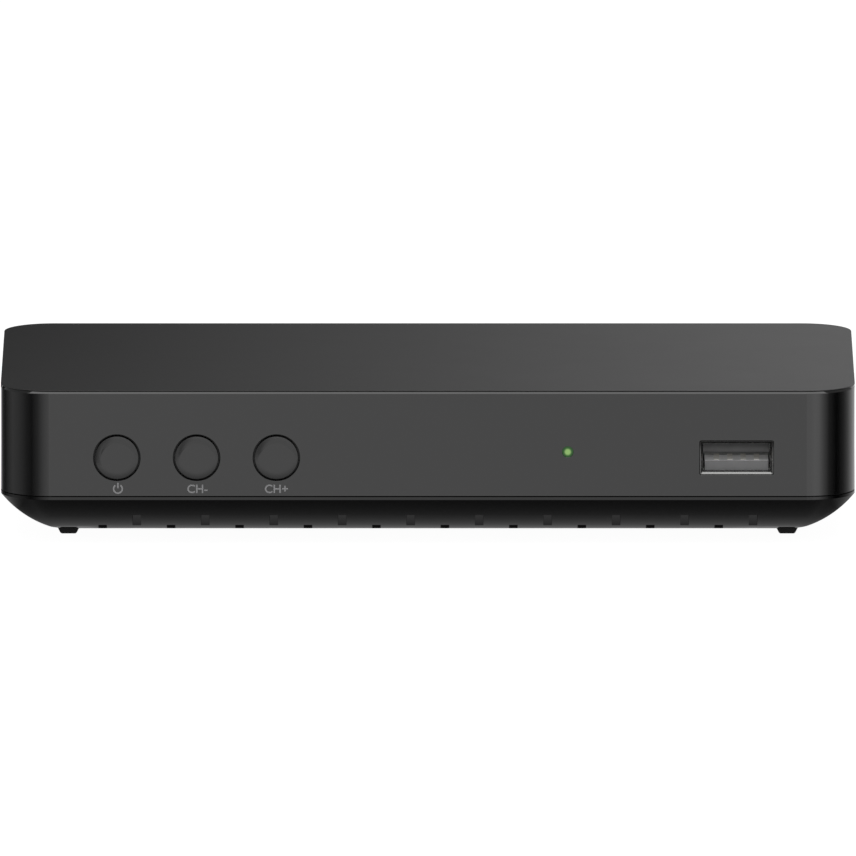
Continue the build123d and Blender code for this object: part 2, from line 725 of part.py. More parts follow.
def digital_audio_insulator():
    """Coloured insert of the phono jack with its centre hole."""
    x = CONNECTOR_X["phono"]
    length = PHONO_REACH - PHONO_SINK
    insert = rod(x, BACK_Y, CONNECTOR_Z, PHONO_RADIUS - PHONO_SHEET - PHONO_CLEARANCE, length)
    return insert - rod(x, BACK_Y, CONNECTOR_Z, PHONO_BORE_RADIUS, length)


def av_jack():
    """Audio and video jack: a low housing with a bored round nose in the back wall."""
    x = CONNECTOR_X["av"]
    z = BOARD_TOP + AV_HEIGHT / 2
    body = block(x, BACK_INSIDE - AV_DEPTH, BOARD_TOP, AV_WIDTH, AV_DEPTH, AV_HEIGHT)
    body += rod(x, BACK_INSIDE, z, AV_NOSE_RADIUS, WALL)
    return body - rod(x, BACK_Y - AV_BORE_DEPTH, z, AV_BORE_RADIUS, AV_BORE_DEPTH)


def hdmi_centre():
    """Level of the middle of the picture socket."""
    return BOARD_TOP + HDMI_STAND + HDMI_SHEET + HDMI_HEIGHT / 2


def hdmi_outline(y, margin):
    """Section of the picture socket, its two lower corners cut off, grown by a margin."""
    half = HDMI_WIDTH / 2 + margin
    rise = HDMI_HEIGHT / 2 + margin
    corners = [
        (-half, -rise),
        (half, -rise),
        (half, rise - HDMI_CORNER),
        (half - HDMI_CORNER, rise),
        (HDMI_CORNER - half, rise),
        (-half, rise - HDMI_CORNER),
    ]
    return depth_plane(CONNECTOR_X["hdmi"], y, hdmi_centre()) * Polygon(*corners, align=None)


def hdmi_shell():
    """Sheet-metal shell of the picture socket, on tabs that stand on the board."""
    front = BACK_Y - HDMI_SINK - HDMI_LENGTH
    shell = extrude(hdmi_outline(front, HDMI_SHEET), HDMI_LENGTH)
    tab_height = HDMI_STAND + HDMI_SHEET + HDMI_CORNER
    for side in SIDES.values():
        x = CONNECTOR_X["hdmi"] + side * (HDMI_WIDTH + HDMI_SHEET) / 2
        shell += block(x, front, BOARD_TOP, HDMI_SHEET, BOARD_BACK - front, tab_height)
    return shell - extrude(hdmi_outline(front, 0), HDMI_LENGTH)


def hdmi_tongue():
    """Plastic insert of the picture socket with its flat tongue."""
    front = BACK_Y - HDMI_SINK - HDMI_LENGTH
    insert = extrude(hdmi_outline(front, -HDMI_CLEARANCE), HDMI_BLOCK)
    length = HDMI_LENGTH - HDMI_TONGUE_SETBACK
    low = hdmi_centre() - HDMI_TONGUE_THICKNESS / 2
    return insert + block(CONNECTOR_X["hdmi"], front, low, HDMI_TONGUE_WIDTH, length, HDMI_TONGUE_THICKNESS)


def tuner_can():
    """Sheet-metal frame of the tuner module, open below and above."""
    x = CONNECTOR_X["tuner"]
    front = TUNER_BACK - TUNER_DEPTH
    can = block(x, front, BOARD_TOP, TUNER_WIDTH, TUNER_DEPTH, TUNER_HEIGHT)
    inner_width = TUNER_WIDTH - 2 * TUNER_SHEET
    inner_depth = TUNER_DEPTH - 2 * TUNER_SHEET
    return can - block(x, front + TUNER_SHEET, BOARD_TOP, inner_width, inner_depth, TUNER_HEIGHT)


def tuner_lid():
    """Lid of the tuner module, with skirts over the front and the two sides of the frame."""
    x = CONNECTOR_X["tuner"]
    top = BOARD_TOP + TUNER_HEIGHT
    reach = LID_CLEARANCE + LID_THICKNESS
    depth = TUNER_DEPTH + reach
    front = TUNER_BACK - depth
    lid = block(x, front, top - LID_SKIRT, TUNER_WIDTH + 2 * reach, depth, LID_SKIRT + LID_THICKNESS)
    inner_width = TUNER_WIDTH + 2 * LID_CLEARANCE
    return lid - block(x, front + LID_THICKNESS, top - LID_SKIRT, inner_width, depth, LID_SKIRT)


def aerial_length():
    """Length of an aerial connector from the tuner module to its tip."""
    return AERIAL_TIP - TUNER_BACK


def antenna_in_socket():
    """Outer shell of the aerial socket."""
    outer = SOCKET_BORE_RADIUS + SOCKET_WALL
    return tube(AERIAL_IN_X, TUNER_BACK, CONNECTOR_Z, outer, SOCKET_BORE_RADIUS, aerial_length())


def antenna_in_insulator():
    """Insulating disc at the bottom of the aerial socket."""
    radius = SOCKET_BORE_RADIUS - INSULATOR_CLEARANCE
    return rod(AERIAL_IN_X, TUNER_BACK, CONNECTOR_Z, radius, INSULATOR_LENGTH)


def antenna_in_contact():
    """Centre contact of the aerial socket, bored for a plug's pin."""
    tip = AERIAL_TIP - AERIAL_CONTACT_SINK
    radius = AERIAL_CONTACT_RADIUS
    contact = rod(AERIAL_IN_X, INSULATOR_FACE, CONNECTOR_Z, radius, tip - INSULATOR_FACE)
    bore = AERIAL_PIN_RADIUS + AERIAL_PIN_CLEARANCE
    bore_start = tip - AERIAL_CONTACT_DEPTH
    return contact - rod(AERIAL_IN_X, bore_start, CONNECTOR_Z, bore, AERIAL_CONTACT_DEPTH)


def antenna_out_plug():
    """Outer shell of the loop-through plug, with a thicker collar up to the face of the back wall."""
    shell = rod(AERIAL_OUT_X, TUNER_BACK, CONNECTOR_Z, PLUG_RADIUS, aerial_length())
    shell += rod(AERIAL_OUT_X, TUNER_BACK, CONNECTOR_Z, PLUG_RADIUS + PLUG_COLLAR, BACK_Y - TUNER_BACK)
    return shell - rod(AERIAL_OUT_X, TUNER_BACK, CONNECTOR_Z, PLUG_RADIUS - PLUG_WALL, aerial_length())


def antenna_out_insulator():
    """Insulating disc in the loop-through plug."""
    radius = PLUG_RADIUS - PLUG_WALL - INSULATOR_CLEARANCE
    return rod(AERIAL_OUT_X, TUNER_BACK, CONNECTOR_Z, radius, INSULATOR_LENGTH)


def antenna_out_pin():
    """Centre pin of the loop-through plug."""
    length = AERIAL_TIP - INSULATOR_FACE
    return rod(AERIAL_OUT_X, INSULATOR_FACE, CONNECTOR_Z, AERIAL_PIN_RADIUS, length)


# Circuit parts


def main_processor():
    """Flat processor package in the middle of the board."""
    y = BOARD_MID_Y - PROCESSOR_SIZE / 2
    return block(0, y, BOARD_TOP, PROCESSOR_SIZE, PROCESSOR_SIZE, PROCESSOR_HEIGHT)


def heat_sink():
    """Finned heat sink on the processor."""
    y = BOARD_MID_Y - SINK_SIZE / 2
    base = BOARD_TOP + PROCESSOR_HEIGHT
    sink = block(0, y, base, SINK_SIZE, SINK_SIZE, SINK_BASE)
    step = (SINK_SIZE - SINK_FIN_THICKNESS) / (SINK_FINS - 1)
    for index in range(SINK_FINS):
        x = (index - (SINK_FINS - 1) / 2) * step
        sink += block(x, y, base, SINK_FIN_THICKNESS, SINK_SIZE, SINK_HEIGHT)
    return sink


def memory_chip():
    """Flat memory package, right of the heat sink."""
    x = (SINK_SIZE + MEMORY_WIDTH) / 2 + CHIP_GAP
    y = BOARD_MID_Y - MEMORY_DEPTH / 2
    return block(x, y, BOARD_TOP, MEMORY_WIDTH, MEMORY_DEPTH, MEMORY_HEIGHT)


def flash_chip():
    """Small program-store package, in front of the heat sink and left of the crystal."""
    x = -(CRYSTAL_WIDTH + FLASH_WIDTH) / 2 - CHIP_GAP
    y = BOARD_MID_Y - SINK_SIZE / 2 - CHIP_GAP - FLASH_DEPTH
    return block(x, y, BOARD_TOP, FLASH_WIDTH, FLASH_DEPTH, FLASH_HEIGHT)


def crystal():
    """Metal crystal can in front of the heat sink."""
    front = BOARD_MID_Y - SINK_SIZE / 2 - CHIP_GAP - CRYSTAL_DEPTH
    return block(0, front, BOARD_TOP, CRYSTAL_WIDTH, CRYSTAL_DEPTH, CRYSTAL_HEIGHT)


def power_row(count):
    """Places of a row of power parts, in front of the direct-current inlet."""
    start = CONNECTOR_X["inlet"]
    return [start + index * POWER_PITCH for index in range(count)]


def inductors():
    """Shielded power inductors."""
    group = Part()
    y = BACK_INSIDE - INLET_DEPTH - POWER_ROW_GAP - INDUCTOR_SIZE
    for x in power_row(INDUCTOR_COUNT):
        coil = block(x, y, BOARD_TOP, INDUCTOR_SIZE, INDUCTOR_SIZE, INDUCTOR_HEIGHT)
        group += chamfer(coil.edges().filter_by(Axis.Z), INDUCTOR_CORNER)
    return group


def capacitors():
    """Upright electrolytic capacitors."""
    y = BACK_INSIDE - INLET_DEPTH - POWER_ROW_GAP - INDUCTOR_SIZE - POWER_PITCH
    top = BOARD_TOP + CAPACITOR_HEIGHT
    return Part() + [post(x, y, BOARD_TOP, top, CAPACITOR_RADIUS) for x in power_row(CAPACITOR_COUNT)]


def assembly():
    """Every piece by its name."""
    pieces = {
        "top_cover": top_cover(),
        "front_panel": front_panel(),
        "rear_panel": rear_panel(),
        "base_tub": base_tub(),
    }
    for name, side in SIDES.items():
        pieces[f"side_panel_{name}"] = side_panel(side)
    for name, (x, y) in FOOT_SPOTS.items():
        pieces[name] = foot(x, y)
    for name, x in KEY_X.items():
        pieces[f"{name}_button"] = key(x)
        pieces[f"{name}_switch_body"] = switch_body(x)
        pieces[f"{name}_switch_plunger"] = switch_plunger(x)
    makers = (
        key_guide, led_light_pipe, status_led, led_spacer, ir_receiver,
        usb_shell, usb_tongue, usb_contacts,
        main_board, case_screws,
        power_inlet_body, power_inlet_pin,
        digital_audio_body, digital_audio_shell, digital_audio_insulator,
        av_jack, hdmi_shell, hdmi_tongue,
        tuner_can, tuner_lid,
        antenna_in_socket, antenna_in_insulator, antenna_in_contact,
        antenna_out_plug, antenna_out_insulator, antenna_out_pin,
        main_processor, heat_sink, memory_chip, flash_chip, crystal, inductors, capacitors,
    )
    for maker in makers:
        pieces[maker.__name__] = maker()
    return pieces


def main():
    """Write one STEP file for each piece."""
    os.makedirs("parts", exist_ok=True)
    for name, piece in assembly().items():
        export_step(piece, f"parts/{name}.step")


main()
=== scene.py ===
"""Looks of a compact television receiver: a flat black box with three keys, a lamp and a USB socket.

Every piece is modelled in metres at its place in the frame: the front faces -Y and up is +Z.
"""
import math

import bmesh
import bpy
from bpy.props import FloatProperty, FloatVectorProperty, IntProperty, PointerProperty
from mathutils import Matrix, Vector


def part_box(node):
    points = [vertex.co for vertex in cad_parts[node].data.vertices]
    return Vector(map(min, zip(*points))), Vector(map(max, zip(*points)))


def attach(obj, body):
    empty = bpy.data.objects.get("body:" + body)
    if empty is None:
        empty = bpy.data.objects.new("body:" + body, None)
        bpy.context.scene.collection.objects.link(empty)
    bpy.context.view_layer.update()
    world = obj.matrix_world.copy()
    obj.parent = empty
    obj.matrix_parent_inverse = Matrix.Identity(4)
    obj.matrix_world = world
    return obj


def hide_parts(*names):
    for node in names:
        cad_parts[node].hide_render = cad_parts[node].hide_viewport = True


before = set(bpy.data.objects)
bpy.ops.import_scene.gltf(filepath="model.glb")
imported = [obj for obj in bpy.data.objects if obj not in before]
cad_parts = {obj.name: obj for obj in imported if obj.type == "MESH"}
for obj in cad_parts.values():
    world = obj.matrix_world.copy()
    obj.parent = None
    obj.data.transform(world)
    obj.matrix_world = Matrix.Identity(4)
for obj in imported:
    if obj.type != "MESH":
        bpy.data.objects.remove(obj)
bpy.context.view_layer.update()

bl_info = {
    "name": "Television receiver",
    "version": (1, 0, 0),
    "blender": (4, 5, 0),
    "location": "3D View > Sidebar > Receiver",
    "description": "Models the visible pieces of a small television receiver around its frame",
    "category": "Object",
}

MM = 0.001
SMOOTH_ANGLE = math.radians(32)
ACROSS, DEEP, UP = Vector((1, 0, 0)), Vector((0, 1, 0)), Vector((0, 0, 1))
CASE_BODY = "case"
KEY_NAMES = ("power", "channel_down", "channel_up")
# Steps of the rim's rounding, as shares of its width and height
RIM_SHARES = ((0.055, 0.1), (0.17, 0.18), (0.775, 0.72))
# Strength of the reflections of the band and the keys
GLOSS_LEVEL = 0.745
# Printed legends: the capitals' share of the font's size, the ink's thickness and its spread
CAP_SHARE, INK_THICKNESS, INK_SPREAD = 0.72, 0.02 * MM, 0.03 * MM
# Distance within which points are the same
DOUBLES = 0.0005 * MM
# Cosine above which a direction lies along an axis
STRAIGHT = 0.999
# Turn that stands a flat piece up, facing the front
UPRIGHT = (math.pi / 2, 0, 0)
# Screws: height of a head, and radii of the shank, its hole, the pocket for the head and the pocket's mouth
HEAD_HEIGHT = 1.9 * MM
SHANK, SHANK_HOLE, POCKET, POCKET_MOUTH = 1.45 * MM, 1.7 * MM, 3.0 * MM, 3.3 * MM
# Board supports: radius of a screw post, half width of a front rest and its distance from the front
POST_RADIUS, REST_HALF, REST_BACK = 3.75 * MM, 3.0 * MM, 22.0 * MM
# Keys: how far the flange passes the cap, radius of the stem, the flange's thickness and its gap to the panel
FLANGE_REACH, STEM, FLANGE, FLANGE_GAP = 1.2 * MM, 1.5 * MM, 0.8 * MM, 0.1 * MM
# Radii of the openings for the smaller rear sockets, and the gap round every rear socket
REAR_HOLES = {"digital_audio_shell": 5.05 * MM, "power_inlet_pin": 4.0 * MM, "av_jack": 2.7 * MM}
REAR_GAP = 0.3 * MM

# Places that the frame gives
LID_LOW, LID_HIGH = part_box("top_cover")
PANEL_LOW, PANEL_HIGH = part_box("front_panel")
TUB_LOW, TUB_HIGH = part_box("base_tub")
BOARD_LOW, BOARD_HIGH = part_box("main_board")
FRONT_Y, BACK_Y = PANEL_LOW.y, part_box("rear_panel")[1].y
MID_Y = (FRONT_Y + BACK_Y) / 2
HALF_WIDTH = PANEL_HIGH.x


def centre_of(node):
    """Middle of a node's box."""
    low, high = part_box(node)
    return (low + high) / 2


def axis_of(node):
    """Where the axis of a round node crosses depth zero."""
    middle = centre_of(node)
    return Vector((middle.x, 0, middle.z))


def radius_of(node):
    """Half of a node's height."""
    low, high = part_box(node)
    return (high.z - low.z) / 2


def length(name, description, default):
    """A size in the panel, given here in millimetres."""
    return FloatProperty(name=name, description=description, default=default * MM,
                         subtype="DISTANCE", unit="LENGTH", precision=5)


def angle(name, description, default):
    """An angle in the panel, given here in degrees."""
    return FloatProperty(name=name, description=description, default=math.radians(default),
                         subtype="ANGLE", unit="ROTATION", precision=4)


def colour(name, description, default):
    """A colour in the panel."""
    return FloatVectorProperty(name=name, description=description, default=default,
                               size=3, min=0, max=1, subtype="COLOR")


class ReceiverSizes(bpy.types.PropertyGroup):
    """Sizes of the case and its controls."""
    corner_radius: length("Corner radius", "Radius of the case corners in plan", 9.4)
    corner_steps: IntProperty(name="Corner steps", description="Faces round a case corner",
                              default=40, min=4, max=96)
    wall: length("Wall", "Thickness of the mouldings", 2.0)
    lid_edge: length("Lid edge", "Thickness of the lid at its overhanging lip", 0.2)
    lid_lip: length("Lid lip", "Overhang of the lid beyond its seat", 0.5)
    lid_seat: length("Lid seat", "Height of the bevelled seat under the lid", 1.3)
    lid_round: length("Lid rounding", "Rounding of the lid's upper edge", 0.05)
    lid_undercut: length("Lid undercut", "Bevel under the lid's edge", 0.15)
    boss_radius: length("Boss radius", "Radius of the screw bosses under the lid", 3.0)
    boss_bore: length("Boss bore", "Radius of the hole in a screw boss", 1.5)
    rim_round: length("Rim rounding", "Width of the rounding of the band's upper rim", 0.22)
    lid_gap: length("Lid gap", "Gap between the lid's edge and the band's rim", 0.045)
    seam_gap: length("Seam gap", "Gap between the band and the lip of the base", 0.2)
    seam_break: length("Seam edge", "Broken edges along the lower seam of the case", 0.02)
    rim_drop: length("Rim drop", "Height of the rounding of the band's upper rim", 0.42)
    hole_break: length("Hole edge", "Broken edge round the holes of the band", 0.03)
    key_gap: length("Key gap", "Gap round a key", 0.425)
    lamp_gap: length("Lamp gap", "Gap round the lamp", 0.05)
    key_crown: length("Key edge", "Width of the rounded edge of a key", 1.4)
    lip_height: length("Base lip", "Height of the upright lip of the base", 0.55)
    hull_radius: length("Hull radius", "Radius of the bowl-shaped underside", 20.5)
    hull_inset: length("Hull inset", "Width of the curved part of the underside", 16.0)
    vent_width: length("Vent width", "Width of a vent slot", 1.6)
    vent_length: length("Vent length", "Length of a vent slot", 4.6)
    vent_pitch: length("Vent pitch", "Spacing of the vent slots in a row", 12.83)
    vent_row_pitch: length("Vent row pitch", "Spacing of the rows of vents", 4.3)
    vent_first_row: length("First vent row", "Distance of the first row from the front", 5.8)
    foot_tip: length("Foot tip", "Width of a foot where it stands", 2.9)
    legend_height: length("Legend height", "Height of the capitals under the keys", 1.62)
    legend_level: length("Legend level", "Height of the legends' middle above the table", 11.02)
    usb_flare: length("USB flare", "Spread of the flared lip of the USB shell", 0.28)
    usb_gap: length("USB gap", "Gap between the USB shell's lip and the panel", 0.12)
    usb_roll: length("USB roll", "Depth of the rolled edge of the USB shell's lip", 0.3)
    usb_throat: length("USB throat", "Depth of the flared lip of the USB shell", 1.25)
    usb_drop: length("USB drop", "How far the USB tongue sits below its place in the frame", 0.35)
    usb_corner: length("USB corner", "Corner radius of the USB shell", 0.3)
    sheet: length("Sheet", "Thickness of the sheet metal of the sockets", 0.3)


class ReceiverColours(bpy.types.PropertyGroup):
    """Colours of the finishes."""
    lid: colour("Lid", "Grained lid", (0.014, 0.014, 0.0142))
    band: colour("Band", "Gloss band", (0.003, 0.003, 0.0032))
    base: colour("Base", "Polished underside", (0.0012, 0.0012, 0.0013))
    rubber: colour("Rubber", "Feet", (0.010, 0.010, 0.0105))
    ink: colour("Ink", "Printed legends", (0.255, 0.255, 0.26))
    lamp: colour("Lamp", "Lit status lamp", (0.25, 0.43, 0.14))
    tongue: colour("Tongue", "Insert of the USB socket", (0.165, 0.165, 0.167))
    board: colour("Board", "Solder mask of the board", (0.012, 0.085, 0.03))


class ReceiverStage(bpy.types.PropertyGroup):
    """The camera, the floor and the lights."""
    elevation: angle("Elevation", "Height of the view above level", 9.02)
    half_field: angle("Half field", "Half of the camera's field of view", 0.62)
    view_width: length("View width", "Width of the picture at the object", 161.175)
    aim_height: length("Aim height", "Height of the picture's middle", 15.345)
    aim_shift: length("Aim shift", "Sideways shift of the picture's middle", 0.0375)
    floor: colour("Floor", "Pale floor", (0.86, 0.86, 0.86))
    lamp_power: FloatProperty(name="Lamp power", description="Power of the overhead soft lamp",
                              default=7.0, min=0, subtype="POWER", unit="POWER")


# Hand work: selecting and shaping


def leave():
    """Leave edit mode."""
    bpy.ops.object.mode_set(mode="OBJECT")


def take_all():
    """Select all of the piece in edit mode."""
    bpy.ops.mesh.select_all(action="SELECT")


def deselect():
    """Leave edit mode and let go of every object."""
    if bpy.context.object and bpy.context.object.mode != "OBJECT":
        leave()
    bpy.ops.object.select_all(action="DESELECT")


def take(piece, mode="OBJECT"):
    """Make one piece the selected and active one."""
    deselect()
    piece.select_set(True)
    bpy.context.view_layer.objects.active = piece
    bpy.ops.object.mode_set(mode=mode)


def settle(name, mode="OBJECT"):
    """Put the place of the new primitive in its mesh, name it and go to a mode."""
    bpy.ops.object.transform_apply(location=True, rotation=True, scale=True)
    piece = bpy.context.object
    piece.name = piece.data.name = name
    bpy.ops.object.mode_set(mode=mode)
    return piece


def box(name, low, high):
    """A box between two corners, left in edit mode."""
    deselect()
    low, high = Vector(low), Vector(high)
    bpy.ops.mesh.primitive_cube_add(size=1, location=(low + high) / 2)
    bpy.context.object.scale = high - low
    return settle(name, "EDIT")


def pick(kind, test):
    """Select the faces, edges or points of the piece in edit mode that pass a test."""
    bpy.ops.mesh.select_mode(type=kind)
    bpy.ops.mesh.select_all(action="DESELECT")
    mesh = bpy.context.object.data
    shape = bmesh.from_edit_mesh(mesh)
    for part in {"FACE": shape.faces, "EDGE": shape.edges, "VERT": shape.verts}[kind]:
        if test(part):
            part.select_set(True)
    shape.select_flush_mode()
    bmesh.update_edit_mesh(mesh)


def near(a, b):
    """Whether two lengths are the same within a hundredth of a millimetre."""
    return abs(a - b) < 0.01 * MM


def faces_at(axis, place):
    """Select the flat faces that lie across an axis at one place."""
    pick("FACE", lambda f: abs(f.normal[axis]) > STRAIGHT and near(f.calc_center_median()[axis], place))


def edges_along(axis):
    """Select the straight edges that run along an axis."""
    def runs(edge):
        step = edge.verts[1].co - edge.verts[0].co
        return abs(step[axis]) > STRAIGHT * step.length
    pick("EDGE", runs)


def edges_at(axis, place):
    """Select the edges that lie across an axis at one place."""
    pick("EDGE", lambda e: all(near(v.co[axis], place) for v in e.verts))


def round_edges(offset, steps):
    """Round the selected edges."""
    bpy.ops.mesh.bevel(offset=offset, offset_type="OFFSET", segments=steps, profile=0.5,
                       affect="EDGES", clamp_overlap=True)


def step_in(thickness, depth=0.0):
    """Inset the selected face and move the new face along its normal."""
    bpy.ops.mesh.inset(thickness=thickness, depth=depth, use_even_offset=True, use_boundary=True)


def draw_out(step):
    """Extrude the selected faces by a step."""
    bpy.ops.mesh.extrude_region_move(TRANSFORM_OT_translate={"value": step})


def face_outwards():
    """Merge doubles and turn every face of the piece in edit mode outwards."""
    take_all()
    bpy.ops.mesh.remove_doubles(threshold=DOUBLES)
    bpy.ops.mesh.normals_make_consistent(inside=False)


def soften(profile, size, steps=3):
    """A profile with its inner corners rounded."""
    points = [Vector(p) for p in profile]
    rounded = [points[0]]
    for before, corner, after in zip(points, points[1:], points[2:]):
        reach = min(size, (before - corner).length / 2, (after - corner).length / 2)
        start = corner + (before - corner).normalized() * reach
        end = corner + (after - corner).normalized() * reach
        for index in range(steps + 1):
            t = index / steps
            rounded.append(start * (1 - t) ** 2 + corner * 2 * t * (1 - t) + end * t ** 2)
    return rounded + [points[-1]]


def turned(name, centre, along, profile, points=96):
    """A round piece: rings of (radius, distance along its axis), from one closed end to the other."""
    deselect()
    radius, distance = profile[0]
    turn = (0, 0, 0) if along.z else (-math.pi / 2, 0, 0)
    bpy.ops.mesh.primitive_circle_add(vertices=points, radius=radius, fill_type="NGON",
                                      location=centre + along * distance, rotation=turn)
    piece = settle(name, "EDIT")
    take_all()
    for next_radius, next_distance in profile[1:]:
        draw_out(along * (next_distance - distance))
        grow = next_radius / radius
        bpy.ops.transform.resize(value=[1 if part else grow for part in along],
                                 center_override=centre + along * next_distance)
        radius, distance = next_radius, next_distance
    face_outwards()
    leave()
    return piece


def joined(name, pieces):
    """Several pieces as one object."""
    deselect()
    for piece in pieces:
        piece.select_set(True)
    bpy.context.view_layer.objects.active = pieces[0]
    if len(pieces) > 1:
        bpy.ops.object.join()
    pieces[0].name = pieces[0].data.name = name
    return pieces[0]


def apply(piece, kind, **settings):
    """Add a modifier to a piece and apply it."""
    take(piece)
    modifier = piece.modifiers.new(kind.lower(), kind)
    for key, value in settings.items():
        setattr(modifier, key, value)
    bpy.ops.object.modifier_apply(modifier=modifier.name)


def combine(piece, tools, operation="DIFFERENCE"):
    """Cut the tools out of a piece, or unite them with it, and clear them away."""
    tool = joined("tool", tools)
    apply(piece, "BOOLEAN", operation=operation, solver="EXACT", object=tool, use_self=False)
    bpy.data.meshes.remove(tool.data)


def copy_of(piece, name):
    """A copy of a piece with its own mesh."""
    twin = piece.copy()
    twin.data = piece.data.copy()
    twin.name = twin.data.name = name
    bpy.context.scene.collection.objects.link(twin)
    return twin


def moved(piece, step):
    """Shift a piece within its own mesh."""
    take(piece, "EDIT")
    take_all()
    bpy.ops.transform.translate(value=step)
    leave()
    return piece


def refined(node, name, bevel):
    """A copy of a frame node with its doubles merged and its edges broken."""
    piece = copy_of(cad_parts[node], name)
    piece.parent = None
    for key in list(piece.keys()):
        del piece[key]
    take(piece, "EDIT")
    take_all()
    bpy.ops.mesh.remove_doubles(threshold=DOUBLES)
    bpy.ops.mesh.dissolve_limited(angle_limit=math.radians(0.5))
    leave()
    apply(piece, "BEVEL", width=bevel, segments=2, limit_method="ANGLE", angle_limit=math.radians(40))
    return piece


def fit(piece, material, nodes=(), body=CASE_BODY):
    """Shade a finished piece, give it its finish and let it ride on its body."""
    take(piece)
    bpy.ops.object.shade_smooth_by_angle(angle=SMOOTH_ANGLE)
    apply(piece, "WEIGHTED_NORMAL", keep_sharp=True)
    piece.data.materials.clear()
    piece.data.materials.append(material)
    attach(piece, body)
    if nodes:
        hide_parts(*nodes)
    return piece


def dress(material, *nodes):
    """Give frame nodes a finish."""
    for name in nodes:
        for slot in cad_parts[name].material_slots:
            slot.material = material


# Finishes


class Value:
    """A number that a socket carries; arithmetic on it adds Math nodes."""

    def __init__(self, finish, socket):
        self.finish, self.socket = finish, socket

    def sum(self, operation, first, second):
        return self.finish.node("ShaderNodeMath", {"operation": operation}, {0: first, 1: second})

    def __add__(self, other):
        return self.sum("ADD", self, other)

    def __sub__(self, other):
        return self.sum("SUBTRACT", self, other)

    def __mul__(self, other):
        return self.sum("MULTIPLY", self, other)

    def __truediv__(self, other):
        return self.sum("DIVIDE", self, other)

    def __pow__(self, other):
        return self.sum("POWER", self, other)

    def __radd__(self, other):
        return self.sum("ADD", other, self)

    def __rsub__(self, other):
        return self.sum("SUBTRACT", other, self)

    def __rmul__(self, other):
        return self.sum("MULTIPLY", other, self)

    def __rtruediv__(self, other):
        return self.sum("DIVIDE", other, self)

    def __rpow__(self, other):
        return self.sum("POWER", other, self)

    def __abs__(self):
        return self.sum("ABSOLUTE", self, 0)


class Finish:
    """A material, or the world, and the nodes that make it."""

    def __init__(self, owner):
        owner.use_nodes = True
        self.tree = owner.node_tree
        self.shader = self.tree.nodes.get("Principled BSDF")

    def node(self, kind, settings=None, inputs=None, output=0):
        """Any node: its settings are set first, then the values or links of its sockets."""
        made = self.tree.nodes.new(kind)
        for key, value in (settings or {}).items():
            if key == "stops":
                self.set_stops(made.color_ramp, value)
            else:
                setattr(made, key, value)
        for key, value in (inputs or {}).items():
            self.put(made.inputs[key], value)
        return Value(self, made.outputs[output])

    @staticmethod
    def set_stops(ramp, stops):
        while len(ramp.elements) < len(stops):
            ramp.elements.new(1.0)
        for element, (place, shade) in zip(ramp.elements, stops):
            element.position = place
            element.color = (*shade, 1) if isinstance(shade, tuple) else (shade, shade, shade, 1)

    def put(self, socket, value):
        """Link a value to a socket or set it there."""
        if isinstance(value, Value):
            self.tree.links.new(value.socket, socket)
        elif hasattr(value, "__len__") and socket.type == "RGBA" and len(value) == 3:
            socket.default_value = (*value, 1)
        else:
            socket.default_value = value

    def set(self, **sockets):
        """Values of the main shader's sockets, with spaces in their names as underscores."""
        for key, value in sockets.items():
            self.put(self.shader.inputs[key.replace("_", " ")], value)

    def place(self):
        """A point of the piece."""
        return self.node("ShaderNodeTexCoord", output="Object")

    def axes(self):
        """The three coordinates of a point of the piece."""
        split = self.node("ShaderNodeSeparateXYZ", inputs={0: self.place()})
        return [Value(self, socket) for socket in split.socket.node.outputs]

    def noise(self, size, detail=2.0, rough=0.5):
        """Soft noise whose features have a size in metres."""
        return self.node("ShaderNodeTexNoise", inputs={
            "Vector": self.place(), "Scale": 1 / size, "Detail": detail, "Roughness": rough})

    def blend(self, share, first, second):
        """A colour between two others."""
        return self.node("ShaderNodeMix", {"data_type": "RGBA"}, {0: share, 6: first, 7: second}, 2)

    def ramp(self, value, *stops):
        """A value through a smooth ramp."""
        return self.node("ShaderNodeValToRGB", {"stops": stops}, {0: value})

    def emboss(self, height, distance):
        """A bump of the surface."""
        self.set(Normal=self.node("ShaderNodeBump", inputs={
            "Height": height, "Distance": distance, "Strength": 1.0}))


def shades(base, spread):
    """A darker and a lighter shade of a colour."""
    return [tuple(part * (1 + side * spread) for part in base) for side in (-1, 1)]


def finish_for(name, make, *arguments):
    """The finish of that name, made once."""
    material = bpy.data.materials.get(name)
    if material is None:
        material = bpy.data.materials.new(name)
        make(Finish(material), *arguments)
    return material


def rising(finish, value, low, high, first=0.0, last=1.0):
    """A smooth climb of a value between two levels."""
    return finish.node("ShaderNodeMapRange", {"interpolation_type": "SMOOTHSTEP"}, {
        "Value": value, "From Min": low, "From Max": high, "To Min": first, "To Max": last})


def grained(finish, base, roughness, size, height):
    """Moulded plastic with an even spark-eroded grain and faint clouding."""
    grain = finish.noise(size, 3.0, 0.6)
    cloud = finish.noise(9 * MM, 2.0)
    finish.set(Base_Color=finish.blend(cloud * 0.6 + grain * 0.4, *shades(base, 0.12)),
               Roughness=roughness - 0.03 + cloud * 0.03 + grain * 0.04)
    finish.emboss(grain, height)


def glossy(finish, base, level, dullness=None):
    """Polished plastic with a trace of moulding ripple and wiping haze, dull where it isn't polished."""
    haze = finish.noise(14 * MM, 4.0, 0.6)
    ripple = finish.noise(5 * MM, 1.0)
    roughness = 0.03 + haze * 0.05
    if dullness:
        roughness = roughness + dullness(finish)
    finish.set(Base_Color=finish.blend(haze, *shades(base, 0.2)),
               Roughness=roughness, Specular_IOR_Level=level)
    finish.emboss(ripple, 0.0006 * MM)


